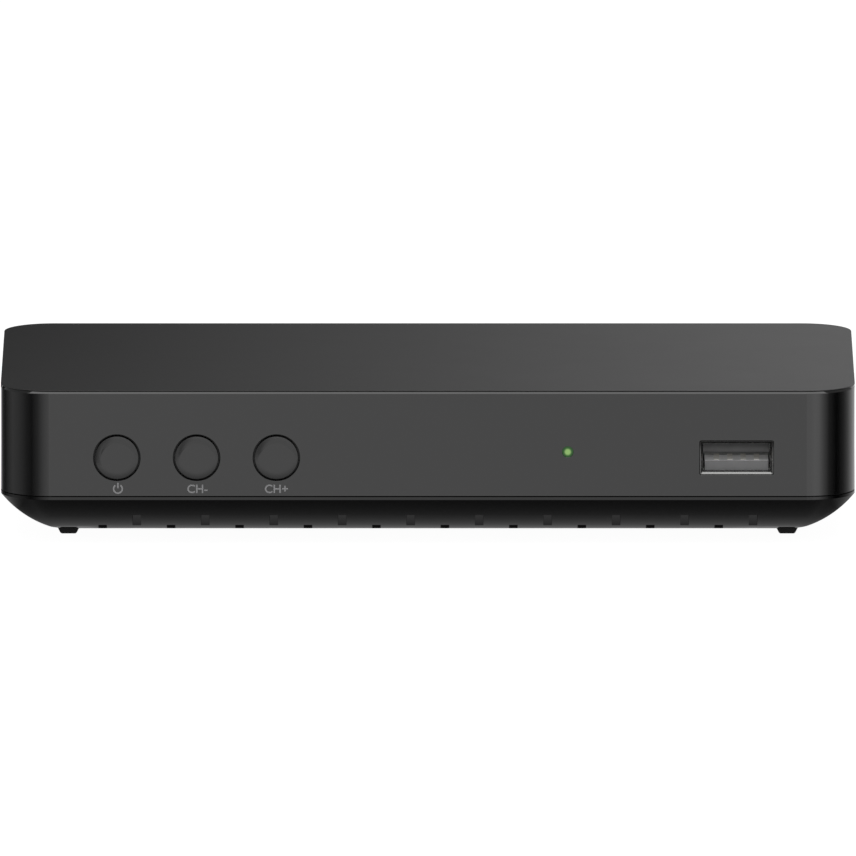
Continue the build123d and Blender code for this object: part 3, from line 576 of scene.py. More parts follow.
def inside_walls(finish):
    """Dullness of the band's inner faces: its holes and what lies behind its flat walls."""
    x, y, _ = finish.axes()
    start, end = 0.35 * MM, 0.6 * MM
    flat = HALF_WIDTH - sizes().corner_radius
    front = rising(finish, y, FRONT_Y + start, FRONT_Y + end)
    back = rising(finish, y, BACK_Y - end, BACK_Y - start, 1.0, 0.0)
    return front * back * rising(finish, abs(x), flat - MM, flat, 0.6, 0.0)


def key_sides(finish):
    """Dullness of a key: polished on its face, satin round its edge and behind it."""
    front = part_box("power_button")[0].y
    y = finish.axes()[1]
    return rising(finish, y, front + 0.01 * MM, front + 0.15 * MM, 0.0, 0.2) + rising(
        finish, y, front + 0.8 * MM, front + 1.2 * MM, 0.0, 0.2)


def rubbery(finish, base):
    """Dull rubber with a dusty mottle."""
    mottle = finish.noise(0.6 * MM, 4.0, 0.7)
    finish.set(Base_Color=finish.blend(mottle, *shades(base, 0.5)), Roughness=0.62 + mottle * 0.25,
               Specular_IOR_Level=0.3)
    finish.emboss(mottle, 0.02 * MM)


def printed(finish, base):
    """Pad-printed ink, slightly uneven in density."""
    specks = finish.noise(0.12 * MM, 3.0, 0.7)
    finish.set(Base_Color=finish.blend(specks, *shades(base, 0.18)), Roughness=0.42 + specks * 0.2)
    finish.emboss(specks, 0.004 * MM)


def metal(finish, base, roughness, streak=0.5 * MM, shine=1.0):
    """Plated or rolled metal with fine streaks and faint tarnish."""
    scratches = finish.node("ShaderNodeTexNoise", inputs={
        "Vector": finish.node("ShaderNodeMapping", inputs={
            "Vector": finish.place(), "Scale": (1.0, 0.06, 1.0)}),
        "Scale": 1 / streak, "Detail": 4.0})
    tarnish = finish.noise(3 * MM, 3.0)
    finish.set(Base_Color=finish.blend(tarnish, *shades(base, 0.1)), Metallic=shine,
               Roughness=roughness + scratches * 0.14)
    finish.emboss(scratches, 0.002 * MM)


def sheet_with_painted_shade_and_light(finish, base, roughness, low, high, inside):
    """Rolled sheet with painted shade towards the top of its lips, and a painted light tone behind them."""
    streaks = finish.noise(0.5 * MM, 4.0)
    _, y, z = finish.axes()
    # painted shade: the lips darken towards the top
    shade = rising(finish, z, low, high, 1.0, 0.15)
    # dim is a painted shade; bright is a painted light tone for the inside behind the lips
    dim, bright = (tuple(part * factor for part in base) for factor in (0.1, 4.6))
    lips = finish.blend(shade * (0.9 + streaks * 0.2), dim, base)
    finish.set(Base_Color=finish.blend(rising(finish, y, inside, inside + MM), lips, bright), Metallic=1.0,
               Roughness=roughness + streaks * 0.14)


def plastic_skin(finish, roughness):
    """Roughness of insulating plastic; gives its flow marks."""
    skin = finish.noise(0.25 * MM, 2.0)
    finish.set(Roughness=roughness - 0.05 + skin * 0.12)
    finish.emboss(skin, 0.004 * MM)
    return finish.noise(2.2 * MM, 3.0, 0.6)


def moulded(finish, base, roughness):
    """Plain insulating plastic with flow marks."""
    finish.set(Base_Color=finish.blend(plastic_skin(finish, roughness), *shades(base, 0.12)))


def insert_with_painted_light(finish, base, roughness, face, depth, low, high):
    """Insulating plastic, its own grey on its face and a painted light tone behind it, fading back as painted
    shade high up at the back of its socket.
    """
    flow = plastic_skin(finish, roughness)
    _, y, z = finish.axes()
    # painted shade: deep in the socket and higher up, the painted light fades back to the insert's grey
    shade = rising(finish, y, depth - MM, depth) * rising(finish, z, low, high, 0.6, 1.0)
    painted_light_share = rising(finish, y, face, face + 0.12 * MM) * (1 - shade)
    # painted light: a tone far paler than the insert's grey, standing in for light inside the socket
    light = tuple(part * 5.2 for part in base)
    tones = [finish.blend(flow, *shades(tone, 0.1)) for tone in (base, light)]
    finish.set(Base_Color=finish.blend(painted_light_share, *tones))


def solder_mask(finish, base):
    """Board lacquer with the tracks showing as a lighter weave of bars."""
    tracks = finish.node("ShaderNodeTexBrick", inputs={
        "Vector": finish.place(), "Scale": 160.0, "Mortar Size": 0.06, "Color1": (0.2, 0.2, 0.2, 1),
        "Color2": (0.5, 0.5, 0.5, 1), "Mortar": (1, 1, 1, 1)})
    mottle = finish.noise(1.5 * MM, 3.0)
    finish.set(Base_Color=finish.blend(tracks, *shades(base, 0.3)), Roughness=0.25 + mottle * 0.2)
    finish.emboss(tracks, 0.02 * MM)


def lit(finish, base, middle, core, rim):
    """Clear rod lit from behind: a bright core that dies away towards its rim."""
    x, _, z = finish.axes()
    out = ((x - middle.x) ** 2.0 + (z - middle.z) ** 2.0) ** 0.5
    grain = finish.noise(0.3 * MM, 2.0)
    share = rising(finish, out + grain * 0.1 * MM, core, rim, 1.0, 0.0)
    glow = finish.blend(share, (base[0] * 0.12, base[1] * 0.2, base[2] * 0.2), base)
    finish.set(Base_Color=finish.blend(share, (0.004, 0.009, 0.004), (0.02, 0.04, 0.012)),
               Roughness=0.12 + grain * 0.1, Emission_Color=glow, Emission_Strength=1.0,
               Specular_IOR_Level=0.12)


def colours():
    """The colours in the panel."""
    return bpy.context.scene.receiver_colours


def sizes():
    """The sizes in the panel."""
    return bpy.context.scene.receiver_sizes


def black_plastic():
    return finish_for("black_insert", moulded, (0.012, 0.012, 0.0125), 0.42)


def tin_plate():
    return finish_for("tin_plate", metal, (0.62, 0.62, 0.6), 0.2)


def nickel_plate():
    return finish_for("nickel_plate", metal, (0.66, 0.63, 0.58), 0.12)


# Case


def case_slab(name, bottom, top):
    """A block with the plan of the case between two levels, left in edit mode."""
    s = sizes()
    piece = box(name, (-HALF_WIDTH, FRONT_Y, bottom), (HALF_WIDTH, BACK_Y, top))
    edges_along(2)
    round_edges(s.corner_radius, s.corner_steps)
    return piece


class RECEIVER_OT_lid(bpy.types.Operator):
    """Flat grained lid with a thin lip over a bevelled seat, and two screw bosses under it"""
    bl_idname = "receiver.lid"
    bl_label = "Lid"

    def execute(self, context):
        s = sizes()
        top = LID_HIGH.z
        bottom = top - s.lid_edge
        lid = case_slab("lid", bottom, top)
        edges_at(2, top)
        round_edges(s.lid_round, 3)
        edges_at(2, bottom)
        round_edges(s.lid_undercut, 1)
        faces_at(2, bottom)
        step_in(s.lid_lip - s.lid_undercut)
        step_in(s.lid_seat, s.lid_seat)
        leave()
        seat, drop = bottom - s.lid_seat, LID_LOW.z
        profile = soften([(s.boss_bore, seat - 2 * s.wall), (s.boss_bore, drop),
                          (s.boss_radius, drop), (s.boss_radius, seat + s.lid_seat / 2)], 0.2 * MM)
        for spot in screw_spots()[0]:
            combine(lid, [turned("boss", spot, UP, profile, 48)], "UNION")
        grain = finish_for("lid_grain", grained, tuple(colours().lid), 0.5, 0.32 * MM, 0.006 * MM)
        fit(lid, grain, ["top_cover"])
        return {"FINISHED"}


def screw_spots():
    """Where the two case screws stand, and the radius of their heads."""
    low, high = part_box("case_screws")
    reach = (high.y - low.y) / 2
    return [Vector((x, (low.y + high.y) / 2, 0)) for x in (low.x + reach, high.x - reach)], reach


def hole_cutter(middle, radius, rim, low, high):
    """A cutter for a round hole through a wall whose outer face is at low."""
    out = 1 if high > low else -1
    profile = [(radius + rim, low - out * MM), (radius + rim, low), (radius, low + out * rim),
               (radius, high + out * MM)]
    return turned("cutter", middle, DEEP, profile)


def usb_cutter():
    """A cutter for the bevelled mouth round the USB shell."""
    s = sizes()
    low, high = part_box("usb_shell")
    middle = centre_of("usb_tongue")
    spread = s.usb_gap + s.usb_flare + s.hole_break
    half = Vector(((high.x - low.x) / 2 + spread, 0, high.z - middle.z + spread))
    cutter = box("cutter", (middle.x - half.x, FRONT_Y - MM, middle.z - half.z),
                 (middle.x + half.x, FRONT_Y, middle.z + half.z))
    edges_along(1)
    round_edges(s.usb_corner + s.usb_gap, 8)
    faces_at(1, FRONT_Y)
    step_in(s.hole_break, s.hole_break)
    draw_out(DEEP * s.wall)
    face_outwards()
    return cutter


class RECEIVER_OT_band(bpy.types.Operator):
    """Gloss band round the case: front with its holes, back with its holes, and two plain sides"""
    bl_idname = "receiver.band"
    bl_label = "Band"

    def execute(self, context):
        s = sizes()
        bottom, top = PANEL_LOW.z, LID_HIGH.z - s.lid_edge - s.lid_gap
        band = case_slab("band", bottom, top - s.rim_drop)
        faces_at(2, top - s.rim_drop)
        for inwards, upwards in RIM_SHARES:
            step_in(s.rim_round * inwards, s.rim_drop * upwards)
        step_in(s.lid_lip - s.rim_round)
        step_in(s.lid_seat, -s.lid_seat)
        step_in(s.wall - s.lid_lip - s.lid_seat)
        edges_at(2, bottom)
        round_edges(s.seam_break, 2)
        faces_at(2, bottom)
        step_in(s.wall - s.seam_break)
        inner = (HALF_WIDTH - s.wall) * 1.001
        pick("FACE", lambda f: abs(f.normal.z) > STRAIGHT and len(f.verts) > 4
             and all(abs(v.co.x) < inner for v in f.verts))
        bpy.ops.mesh.bridge_edge_loops()
        face_outwards()
        inside = FRONT_Y + s.wall
        holes = {"led_light_pipe": radius_of("led_light_pipe") + s.lamp_gap}
        holes.update((f"{name}_button", key_size()[0] + s.key_gap) for name in KEY_NAMES)
        cutters = [hole_cutter(axis_of(node), radius, s.hole_break, FRONT_Y, inside)
                   for node, radius in holes.items()]
        combine(band, cutters + [usb_cutter()])
        combine(band, rear_cutters())
        front_end, rear_end = FRONT_Y + s.corner_radius, BACK_Y - s.corner_radius
        ends = {"front_panel": [((0, front_end, 0), DEEP)], "rear_panel": [((0, rear_end, 0), -DEEP)]}
        for name, side in (("left", -1), ("right", 1)):
            ends[f"side_panel_{name}"] = [((0, front_end, 0), -DEEP), ((0, rear_end, 0), DEEP),
                                          ((0, 0, 0), -side * ACROSS)]
        gloss = finish_for("band_gloss", glossy, tuple(colours().band), GLOSS_LEVEL, inside_walls)
        for node, planes in ends.items():
            panel = copy_of(band, node.replace("panel", "moulding"))
            take(panel, "EDIT")
            for place, outwards in planes:
                take_all()
                bpy.ops.mesh.bisect(plane_co=place, plane_no=outwards, use_fill=True, clear_outer=True)
            leave()
            fit(panel, gloss, [node])
        bpy.data.meshes.remove(band.data)
        return {"FINISHED"}


def rear_cutters():
    """Cutters for the connectors' holes in the back wall."""
    s = sizes()
    inside, gap = BACK_Y - s.wall, REAR_GAP
    aerials = ("antenna_in_socket", "antenna_out_plug")
    holes = dict.fromkeys(aerials, radius_of(aerials[0])) | REAR_HOLES
    cutters = [hole_cutter(axis_of(node), radius + gap, s.hole_break, BACK_Y, inside)
               for node, radius in holes.items()]
    low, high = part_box("hdmi_shell")
    cut = 1.4 * MM
    hdmi = box("cutter", (low.x - gap, inside - MM, hdmi_floor() - gap),
               (high.x + gap, BACK_Y + MM, high.z + gap))
    pick("EDGE", lambda e: all(near(v.co.z, high.z + gap) for v in e.verts)
         and near(e.verts[0].co.x, e.verts[1].co.x))
    bpy.ops.mesh.bevel(offset=cut, offset_type="OFFSET", segments=1, affect="EDGES")
    face_outwards()
    return cutters + [hdmi]


def hdmi_floor():
    """Level of the underside of the picture socket's shell, above its tabs."""
    tongue_low, tongue_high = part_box("hdmi_tongue")
    return tongue_low.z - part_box("hdmi_shell")[1].z + tongue_high.z


def key_size():
    """Radii of a key's cap, flange and stem."""
    low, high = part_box("power_button")
    flange = (high.x - low.x) / 2
    return flange - FLANGE_REACH, flange, STEM


class RECEIVER_OT_base(bpy.types.Operator):
    """Bowl-shaped base with an upright lip, staggered vents, board supports and screw pockets"""
    bl_idname = "receiver.base"
    bl_label = "Base"
    steps = 14

    def execute(self, context):
        s = sizes()
        lip_top = PANEL_LOW.z - s.seam_gap
        rim = lip_top - s.lip_height
        tub = case_slab("base", rim, lip_top)
        start = math.acos(s.hull_inset / s.hull_radius)
        bend = math.acos((s.hull_inset - s.corner_radius) / s.hull_radius)
        angles = [start + (bend - start) * i / self.steps for i in range(1, self.steps + 1)]
        angles += [bend + (math.pi / 2 - bend) * i / self.steps for i in range(1, self.steps + 1)]
        level, inset = rim, 0.0
        faces_at(2, rim)
        for index, angle in enumerate(angles):
            next_inset = s.hull_inset - s.hull_radius * math.cos(angle)
            drop = s.hull_radius * (math.sin(angle) - math.sin(angles[index - 1] if index else start))
            step_in(next_inset - inset, drop)
            inset = next_inset
            level -= drop
            if index == self.steps - 1:
                pick("VERT", lambda v: near(v.co.z, level))
                bpy.ops.mesh.remove_doubles(threshold=0.2 * MM)
                faces_at(2, level)
        faces_at(2, lip_top)
        bpy.ops.mesh.delete(type="FACE")
        leave()
        apply(tub, "SOLIDIFY", thickness=s.wall, offset=-1.0, use_even_offset=True)
        take(tub, "EDIT")
        pick("EDGE", lambda e: all(near(v.co.z, lip_top) for v in e.verts) and e.calc_face_angle(0) > 1)
        round_edges(s.seam_break, 2)
        leave()
        spots = screw_spots()[0]
        foot = TUB_LOW.z + s.wall / 2
        posts = [turned("post", spot, UP, [(POST_RADIUS, foot), (POST_RADIUS, BOARD_LOW.z)], 48)
                 for spot in spots]
        for side in (-1, 1):
            rest = Vector((side * spots[1].x, FRONT_Y + REST_BACK, 0))
            posts.append(box("rest", rest + Vector((-REST_HALF, -REST_HALF, foot)),
                             rest + Vector((REST_HALF, REST_HALF, BOARD_LOW.z))))
        combine(tub, posts, "UNION")
        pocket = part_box("case_screws")[0].z + HEAD_HEIGHT
        profile = [(POCKET_MOUTH, -MM), (POCKET_MOUTH, TUB_LOW.z - 0.05 * MM),
                   (POCKET, TUB_LOW.z + 0.25 * MM), (POCKET, pocket), (SHANK_HOLE, pocket),
                   (SHANK_HOLE, BOARD_LOW.z + MM)]
        combine(tub, [turned("cutter", spot, UP, profile, 64) for spot in spots] + vent_cutters())
        fit(tub, finish_for("base_polish", glossy, tuple(colours().base), 0.5), ["base_tub"])
        return {"FINISHED"}


def vent_cutters():
    """Cutters for the staggered rows of vents."""
    s = sizes()
    rows, columns = 3, 10
    first = box("cutter", (-s.vent_width / 2, -s.vent_length / 2, -MM),
                (s.vent_width / 2, s.vent_length / 2, TUB_HIGH.z))
    edges_along(2)
    round_edges(0.08 * MM, 2)
    leave()
    cutters = []
    for row in range(rows):
        shift = s.vent_pitch / 4 * (1 if row % 2 == 0 else -1)
        y = FRONT_Y + s.vent_first_row + row * s.vent_row_pitch
        for column in range(columns):
            x = (column - (columns - 1) / 2) * s.vent_pitch + shift
            cutters.append(moved(copy_of(first, "cutter"), (x, y, 0)))
    bpy.data.meshes.remove(first.data)
    return cutters


class RECEIVER_OT_feet(bpy.types.Operator):
    """Four small tapered rubber feet"""
    bl_idname = "receiver.feet"
    bl_label = "Feet"

    def execute(self, context):
        s = sizes()
        rubber = finish_for("foot_rubber", rubbery, tuple(colours().rubber))
        first_low, first_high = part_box("foot_front_left")
        foot = box("foot", first_low, first_high)
        middle = (first_low + first_high) / 2
        faces_at(2, first_low.z)
        taper = s.foot_tip / (first_high.x - first_low.x)
        bpy.ops.transform.resize(value=(taper, taper, 1), center_override=(middle.x, middle.y, first_low.z))
        pick("EDGE", lambda e: any(near(v.co.z, first_low.z) for v in e.verts))
        round_edges(0.3 * MM, 4)
        leave()
        for node in ("foot_front_left", "foot_front_right", "foot_rear_left", "foot_rear_right"):
            low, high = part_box(node)
            twin = moved(copy_of(foot, node.replace("foot", "rubber_foot")), (low + high) / 2 - middle)
            fit(twin, rubber, [node])
        bpy.data.meshes.remove(foot.data)
        return {"FINISHED"}


# Controls


class RECEIVER_OT_keys(bpy.types.Operator):
    """Three round keys with a soft edge, a flange behind the panel and a stem"""
    bl_idname = "receiver.keys"
    bl_label = "Keys"
    steps = 8

    def execute(self, context):
        s = sizes()
        radius, flange, stem = key_size()
        low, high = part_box("power_button")
        front, first, last = low.y, math.radians(1), math.radians(22)
        bend = s.key_crown / (math.sin(last) - math.sin(first))
        flange_front = FRONT_Y + s.wall + FLANGE_GAP
        flange_back = flange_front + FLANGE
        profile = []
        for index in range(self.steps + 1):
            turn = first + (last - first) * index / self.steps
            profile.append((radius - s.key_crown + bend * (math.sin(turn) - math.sin(first)),
                            front + bend * (math.cos(first) - math.cos(turn))))
        profile += [(radius, flange_front), (flange, flange_front), (flange, flange_back),
                    (stem, flange_back), (stem, high.y)]
        gloss = finish_for("key_gloss", glossy, tuple(colours().band), GLOSS_LEVEL, key_sides)
        for name in KEY_NAMES:
            key = turned(f"{name}_key_cap", axis_of(f"{name}_button"), DEEP, profile)
            fit(key, gloss, [f"{name}_button"], f"{name}_key")
            dress(black_plastic(), f"{name}_switch_plunger")
        return {"FINISHED"}


def lettering(name, words, middle):
    """Thin raised lettering on the panel, centred on a point."""
    s = sizes()
    deselect()
    bpy.ops.object.text_add()
    text = bpy.context.object
    text.data.body = words
    text.data.size = s.legend_height / CAP_SHARE
    text.data.align_x = "CENTER"
    text.data.extrude = INK_THICKNESS
    text.data.offset = INK_SPREAD
    text.data.resolution_u = 6
    bpy.ops.object.convert(target="MESH")
    piece = bpy.context.object
    corners = [Vector(corner) for corner in piece.bound_box]
    spread = corners[6] - corners[0]
    take(piece, "EDIT")
    take_all()
    bpy.ops.mesh.remove_doubles(threshold=0.001 * MM)
    bpy.ops.transform.translate(value=-(corners[0] + corners[6]) / 2)
    grow = s.legend_height / spread.y
    bpy.ops.transform.resize(value=(grow, grow, 1), center_override=(0, 0, 0))
    leave()
    piece.rotation_euler = UPRIGHT
    piece.location = middle
    return settle(name)


def power_sign(name, middle):
    """The usual on-off sign: a ring open at the top with a bar in the gap."""
    stroke, radius, thick = 0.28 * MM, 0.95 * MM, INK_THICKNESS
    deselect()
    bpy.ops.mesh.primitive_circle_add(vertices=72, radius=radius, fill_type="NGON", location=middle,
                                      rotation=UPRIGHT)
    ring = settle("sign", "EDIT")
    take_all()
    step_in(stroke)
    bpy.ops.mesh.delete(type="FACE")
    def in_gap(face):
        out = face.calc_center_median() - middle
        return abs(math.atan2(out.x, out.z)) < math.radians(33)
    pick("FACE", in_gap)
    bpy.ops.mesh.delete(type="FACE")
    take_all()
    draw_out(DEEP * -thick)
    face_outwards()
    bar = box("bar", middle + Vector((-stroke / 2, -thick, 0.1 * MM)),
              middle + Vector((stroke / 2, thick, 1.17 * MM)))
    edges_along(1)
    round_edges(stroke * 0.3, 2)
    leave()
    return joined(name, [ring, bar])


class RECEIVER_OT_legends(bpy.types.Operator):
    """Printed signs under the keys: on-off, channel down and channel up"""
    bl_idname = "receiver.legends"
    bl_label = "Legends"

    def execute(self, context):
        s = sizes()
        ink = finish_for("legend_ink", printed, tuple(colours().ink))
        shifts = {"power": 0.2 * MM, "channel_down": 0.15 * MM, "channel_up": 0.0}
        middles = {name: Vector((axis_of(f"{name}_button").x + shift, FRONT_Y, s.legend_level))
                   for name, shift in shifts.items()}
        fit(power_sign("power_sign", middles["power"]), ink)
        for name, words in (("channel_down", "CH-"), ("channel_up", "CH+")):
            fit(lettering(f"{name}_sign", words, middles[name]), ink)
        return {"FINISHED"}


class RECEIVER_OT_lamp(bpy.types.Operator):
    """Green status lamp: a lit rod with a low dome, and the parts behind it"""
    bl_idname = "receiver.lamp"
    bl_label = "Lamp"

    def execute(self, context):
        low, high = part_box("led_light_pipe")
        radius = (high.x - low.x) / 2
        dome = 0.1 * MM
        profile = [(radius * math.sin(a), low.y + dome * (1 - math.cos(a)))
                   for a in (0.35, 0.7, 1.0, 1.25, math.pi / 2)]
        profile.append((radius, high.y))
        axis = axis_of("led_light_pipe")
        rod = turned("lamp_rod", axis, DEEP, profile, 64)
        glow = finish_for("lamp_glow", lit, tuple(colours().lamp), axis, 0.4 * radius, 0.85 * radius)
        fit(rod, glow, ["led_light_pipe"])
        dress(glow, "status_led")
        dress(black_plastic(), "led_spacer", "ir_receiver", "key_guide")
        dress(black_plastic(), *[f"{name}_switch_body" for name in KEY_NAMES])
        return {"FINISHED"}


class RECEIVER_OT_usb_socket(bpy.types.Operator):
    """Front USB socket: sheet shell with rounded lips, grey tongue and dull contacts"""
    bl_idname = "receiver.usb_socket"
    bl_label = "USB socket"

    def execute(self, context):
        s = sizes()
        low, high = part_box("usb_shell")
        middle = Vector(((low.x + high.x) / 2, 0, centre_of("usb_tongue").z))
        bottom = 2 * middle.z - high.z
        lip = FRONT_Y + 0.06 * MM
        throat = lip + s.usb_throat
        shell = box("usb_sheet", (low.x, throat, bottom), high)
        edges_along(1)
        round_edges(s.usb_corner, 8)
        faces_at(1, high.y)
        step_in(s.sheet)
        faces_at(1, throat)
        half = Vector((high.x - middle.x, 1, high.z - middle.z))
        spread = Vector((s.usb_flare, 0, s.usb_flare))
        def scaled(after, before):
            bpy.ops.transform.resize(value=[a / b for a, b in zip(after, before)], center_override=middle)
        draw_out(DEEP * (lip - throat))
        scaled(half + spread, half)
        rim = 0.08 * MM
        bpy.ops.mesh.inset(thickness=rim, depth=0)
        edge = half + spread - Vector((rim, 0, rim))
        rolled = half + Vector((0.09 * MM, 0, -0.11 * MM))
        mouth = half - Vector((s.sheet, 0, s.sheet))
        draw_out(DEEP * s.usb_roll)
        scaled(rolled, edge)
        draw_out(DEEP * (s.usb_throat - s.usb_roll))
        scaled(mouth, rolled)
        pick("FACE", lambda f: abs(f.normal.y) > STRAIGHT and len(f.verts) > 4)
        bpy.ops.mesh.bridge_edge_loops()
        face_outwards()
        leave()
        tab = 2.5 * MM
        combine(shell, [box("tab", (x, y, BOARD_HIGH.z), (x + s.sheet, y + tab, bottom + MM))
                        for x in (low.x, high.x - s.sheet) for y in (BOARD_LOW.y, high.y - tab)], "UNION")
        # the shell's finish: painted shade at the top of its lips and painted light behind them
        tin_with_painted_shade_and_light = finish_for("tin_with_painted_shade_and_light", sheet_with_painted_shade_and_light, (0.19, 0.19, 0.187), 0.2,
                              middle.z + MM, high.z, throat)
        fit(shell, tin_with_painted_shade_and_light, ["usb_shell"])
        tongue = refined("usb_tongue", "usb_insert_painted_light_and_shade", 0.12 * MM)
        face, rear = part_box("usb_tongue")[0].y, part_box("usb_contacts")[1]
        # the insert's finish: a painted light tone behind its face and painted shade high up at the back
        insert = finish_for("usb_insert_painted_light_and_shade", insert_with_painted_light, tuple(colours().tongue), 0.6, face, rear.y,
                            rear.z - s.usb_drop, rear.z + MM)
        fit(moved(tongue, UP * -s.usb_drop), insert, ["usb_tongue"])
        strips = moved(refined("usb_contacts", "usb_strips", 0.03 * MM), UP * -s.usb_drop)
        dull = finish_for("dull_contact", metal, (0.78, 0.765, 0.725), 0.75, 0.5 * MM, 0.1)
        fit(strips, dull, ["usb_contacts"])
        return {"FINISHED"}


# Back and inside


def cup(name, node, wall, floor, collar=None):
    """A round metal shell about a node, open at the back, with rounded lips."""
    low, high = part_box(node)
    radius = radius_of(node)
    outer = radius - collar[0] if collar else radius
    profile = [(radius, low.y)]
    if collar:
        profile += [(radius, collar[1]), (outer, collar[1])]
    profile += [(outer, high.y), (outer - wall, high.y), (outer - wall, floor), (0.4 * MM, floor)]
    return turned(name, axis_of(node), DEEP, soften(profile, 0.25 * MM), 72)


def pin(name, node, rounding):
    """A round pin with a blunt point."""
    low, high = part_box(node)
    radius = radius_of(node)
    profile = [(radius, low.y), (radius, high.y - 0.1 * MM), (0.3 * radius, high.y)]
    return turned(name, axis_of(node), DEEP, soften(profile, rounding, 6), 40)


class RECEIVER_OT_aerial_sockets(bpy.types.Operator):
    """Aerial socket and loop-through plug of the tuner"""
    bl_idname = "receiver.aerial_sockets"
    bl_label = "Aerial sockets"

    def execute(self, context):
        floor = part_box("antenna_in_insulator")[0].y + MM
        socket = cup("aerial_socket", "antenna_in_socket", 0.95 * MM, floor)
        fit(socket, nickel_plate(), ["antenna_in_socket"])
        plug = cup("aerial_plug", "antenna_out_plug", 0.65 * MM, floor, (0.95 * MM, BACK_Y))
        fit(plug, nickel_plate(), ["antenna_out_plug"])
        gilt = finish_for("gilt_contact", metal, (0.8, 0.58, 0.24), 0.18)
        fit(pin("aerial_pin", "antenna_out_pin", 0.5 * MM), gilt, ["antenna_out_pin"])
        low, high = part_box("antenna_in_contact")
        radius, bore, end = radius_of("antenna_in_contact"), 1.225 * MM, high.y - 8 * MM
        profile = [(radius, low.y), (radius, high.y), (bore, high.y), (bore, end), (0.2 * MM, end)]
        contact = turned("aerial_contact", axis_of("antenna_in_contact"), DEEP,
                         soften(profile, 0.15 * MM), 48)
        fit(contact, gilt, ["antenna_in_contact"])
        cream = finish_for("cream_insulator", moulded, (0.62, 0.58, 0.48), 0.45)
        dress(cream, "antenna_in_insulator", "antenna_out_insulator")
        return {"FINISHED"}


class RECEIVER_OT_rear_jacks(bpy.types.Operator):
    """Power inlet, digital audio jack, audio and video jack and picture socket"""
    bl_idname = "receiver.rear_jacks"
    bl_label = "Rear jacks"

    def execute(self, context):
        for node, name in (("power_inlet_body", "inlet_housing"), ("av_jack", "av_housing"),
                           ("digital_audio_body", "phono_housing")):
            fit(refined(node, name, 0.15 * MM), black_plastic(), [node])
        fit(refined("hdmi_shell", "picture_sheet", 0.08 * MM), tin_plate(), ["hdmi_shell"])
        fit(refined("hdmi_tongue", "picture_insert", 0.08 * MM), black_plastic(),
            ["hdmi_tongue"])
        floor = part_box("digital_audio_shell")[0].y + 0.5 * MM
        barrel = cup("phono_barrel", "digital_audio_shell", 0.4 * MM, floor)
        fit(barrel, nickel_plate(), ["digital_audio_shell"])
        orange = finish_for("orange_insert", moulded, (0.72, 0.2, 0.02), 0.4)
        fit(refined("digital_audio_insulator", "phono_insert", 0.15 * MM), orange,
            ["digital_audio_insulator"])
        fit(pin("inlet_pin", "power_inlet_pin", 0.4 * MM), nickel_plate(), ["power_inlet_pin"])
        return {"FINISHED"}


class RECEIVER_OT_screws(bpy.types.Operator):
    """Two case screws with cross recesses, driven from below"""
    bl_idname = "receiver.screws"
    bl_label = "Screws"

    def execute(self, context):
        low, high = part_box("case_screws")
        (spot, _), reach = screw_spots()
        seat = low.z + HEAD_HEIGHT
        profile = soften([(1.2 * MM, low.z), (reach, low.z + 0.5 * MM), (reach, seat), (SHANK, seat),
                          (SHANK, high.z - MM), (0.4 * MM, high.z)], 0.3 * MM, 4)
        screw = turned("screw", spot, UP, profile, 56)
        arm, wide, deep = 1.5 * MM, 0.28 * MM, 1.0 * MM
        for size in (Vector((arm, wide, 0)), Vector((wide, arm, 0))):
            cutter = box("cutter", spot - size + UP * (low.z - MM), spot + size + UP * (low.z + deep))
            faces_at(2, low.z + deep)
            bpy.ops.transform.resize(value=(0.55, 0.55, 1), center_override=spot + UP * (low.z + deep))
            face_outwards()
            combine(screw, [cutter])
        twin = moved(copy_of(screw, "screw_twin"), ACROSS * (high.x - low.x - 2 * reach))
        steel = finish_for("screw_steel", metal, (0.36, 0.36, 0.37), 0.28, 0.25 * MM)
        fit(joined("case_screw_pair", [screw, twin]), steel, ["case_screws"])
        return {"FINISHED"}


class RECEIVER_OT_board_parts(bpy.types.Operator):
    """Finishes of the circuit board and what stands on it"""
    bl_idname = "receiver.board_parts"
    bl_label = "Board parts"

    def execute(self, context):
        dress(finish_for("board_lacquer", solder_mask, tuple(colours().board)), "main_board")
        dress(tin_plate(), "tuner_can", "tuner_lid", "crystal")
        dress(black_plastic(), "main_processor", "memory_chip", "flash_chip", "inductors")
        alu = finish_for("sink_alu", metal, (0.72, 0.73, 0.74), 0.3, 0.4 * MM)
        dress(alu, "heat_sink", "capacitors")
        return {"FINISHED"}


# Stage


def as_card(piece, shade, strength):
    """Make a piece a card that only glossy surfaces see."""
    piece.data.materials.append(finish_for(piece.name, lit_card, shade, strength))
    for ray in ("camera", "diffuse", "shadow", "transmission", "volume_scatter"):
        setattr(piece, f"visible_{ray}", False)


def flat_card(name, place, width, height, shade, strength):
    """An upright card across the view."""
    deselect()
    bpy.ops.mesh.primitive_plane_add(size=1, location=place, rotation=UPRIGHT)
    bpy.context.object.scale = (width, height, 1)
    as_card(settle(name), shade, strength)


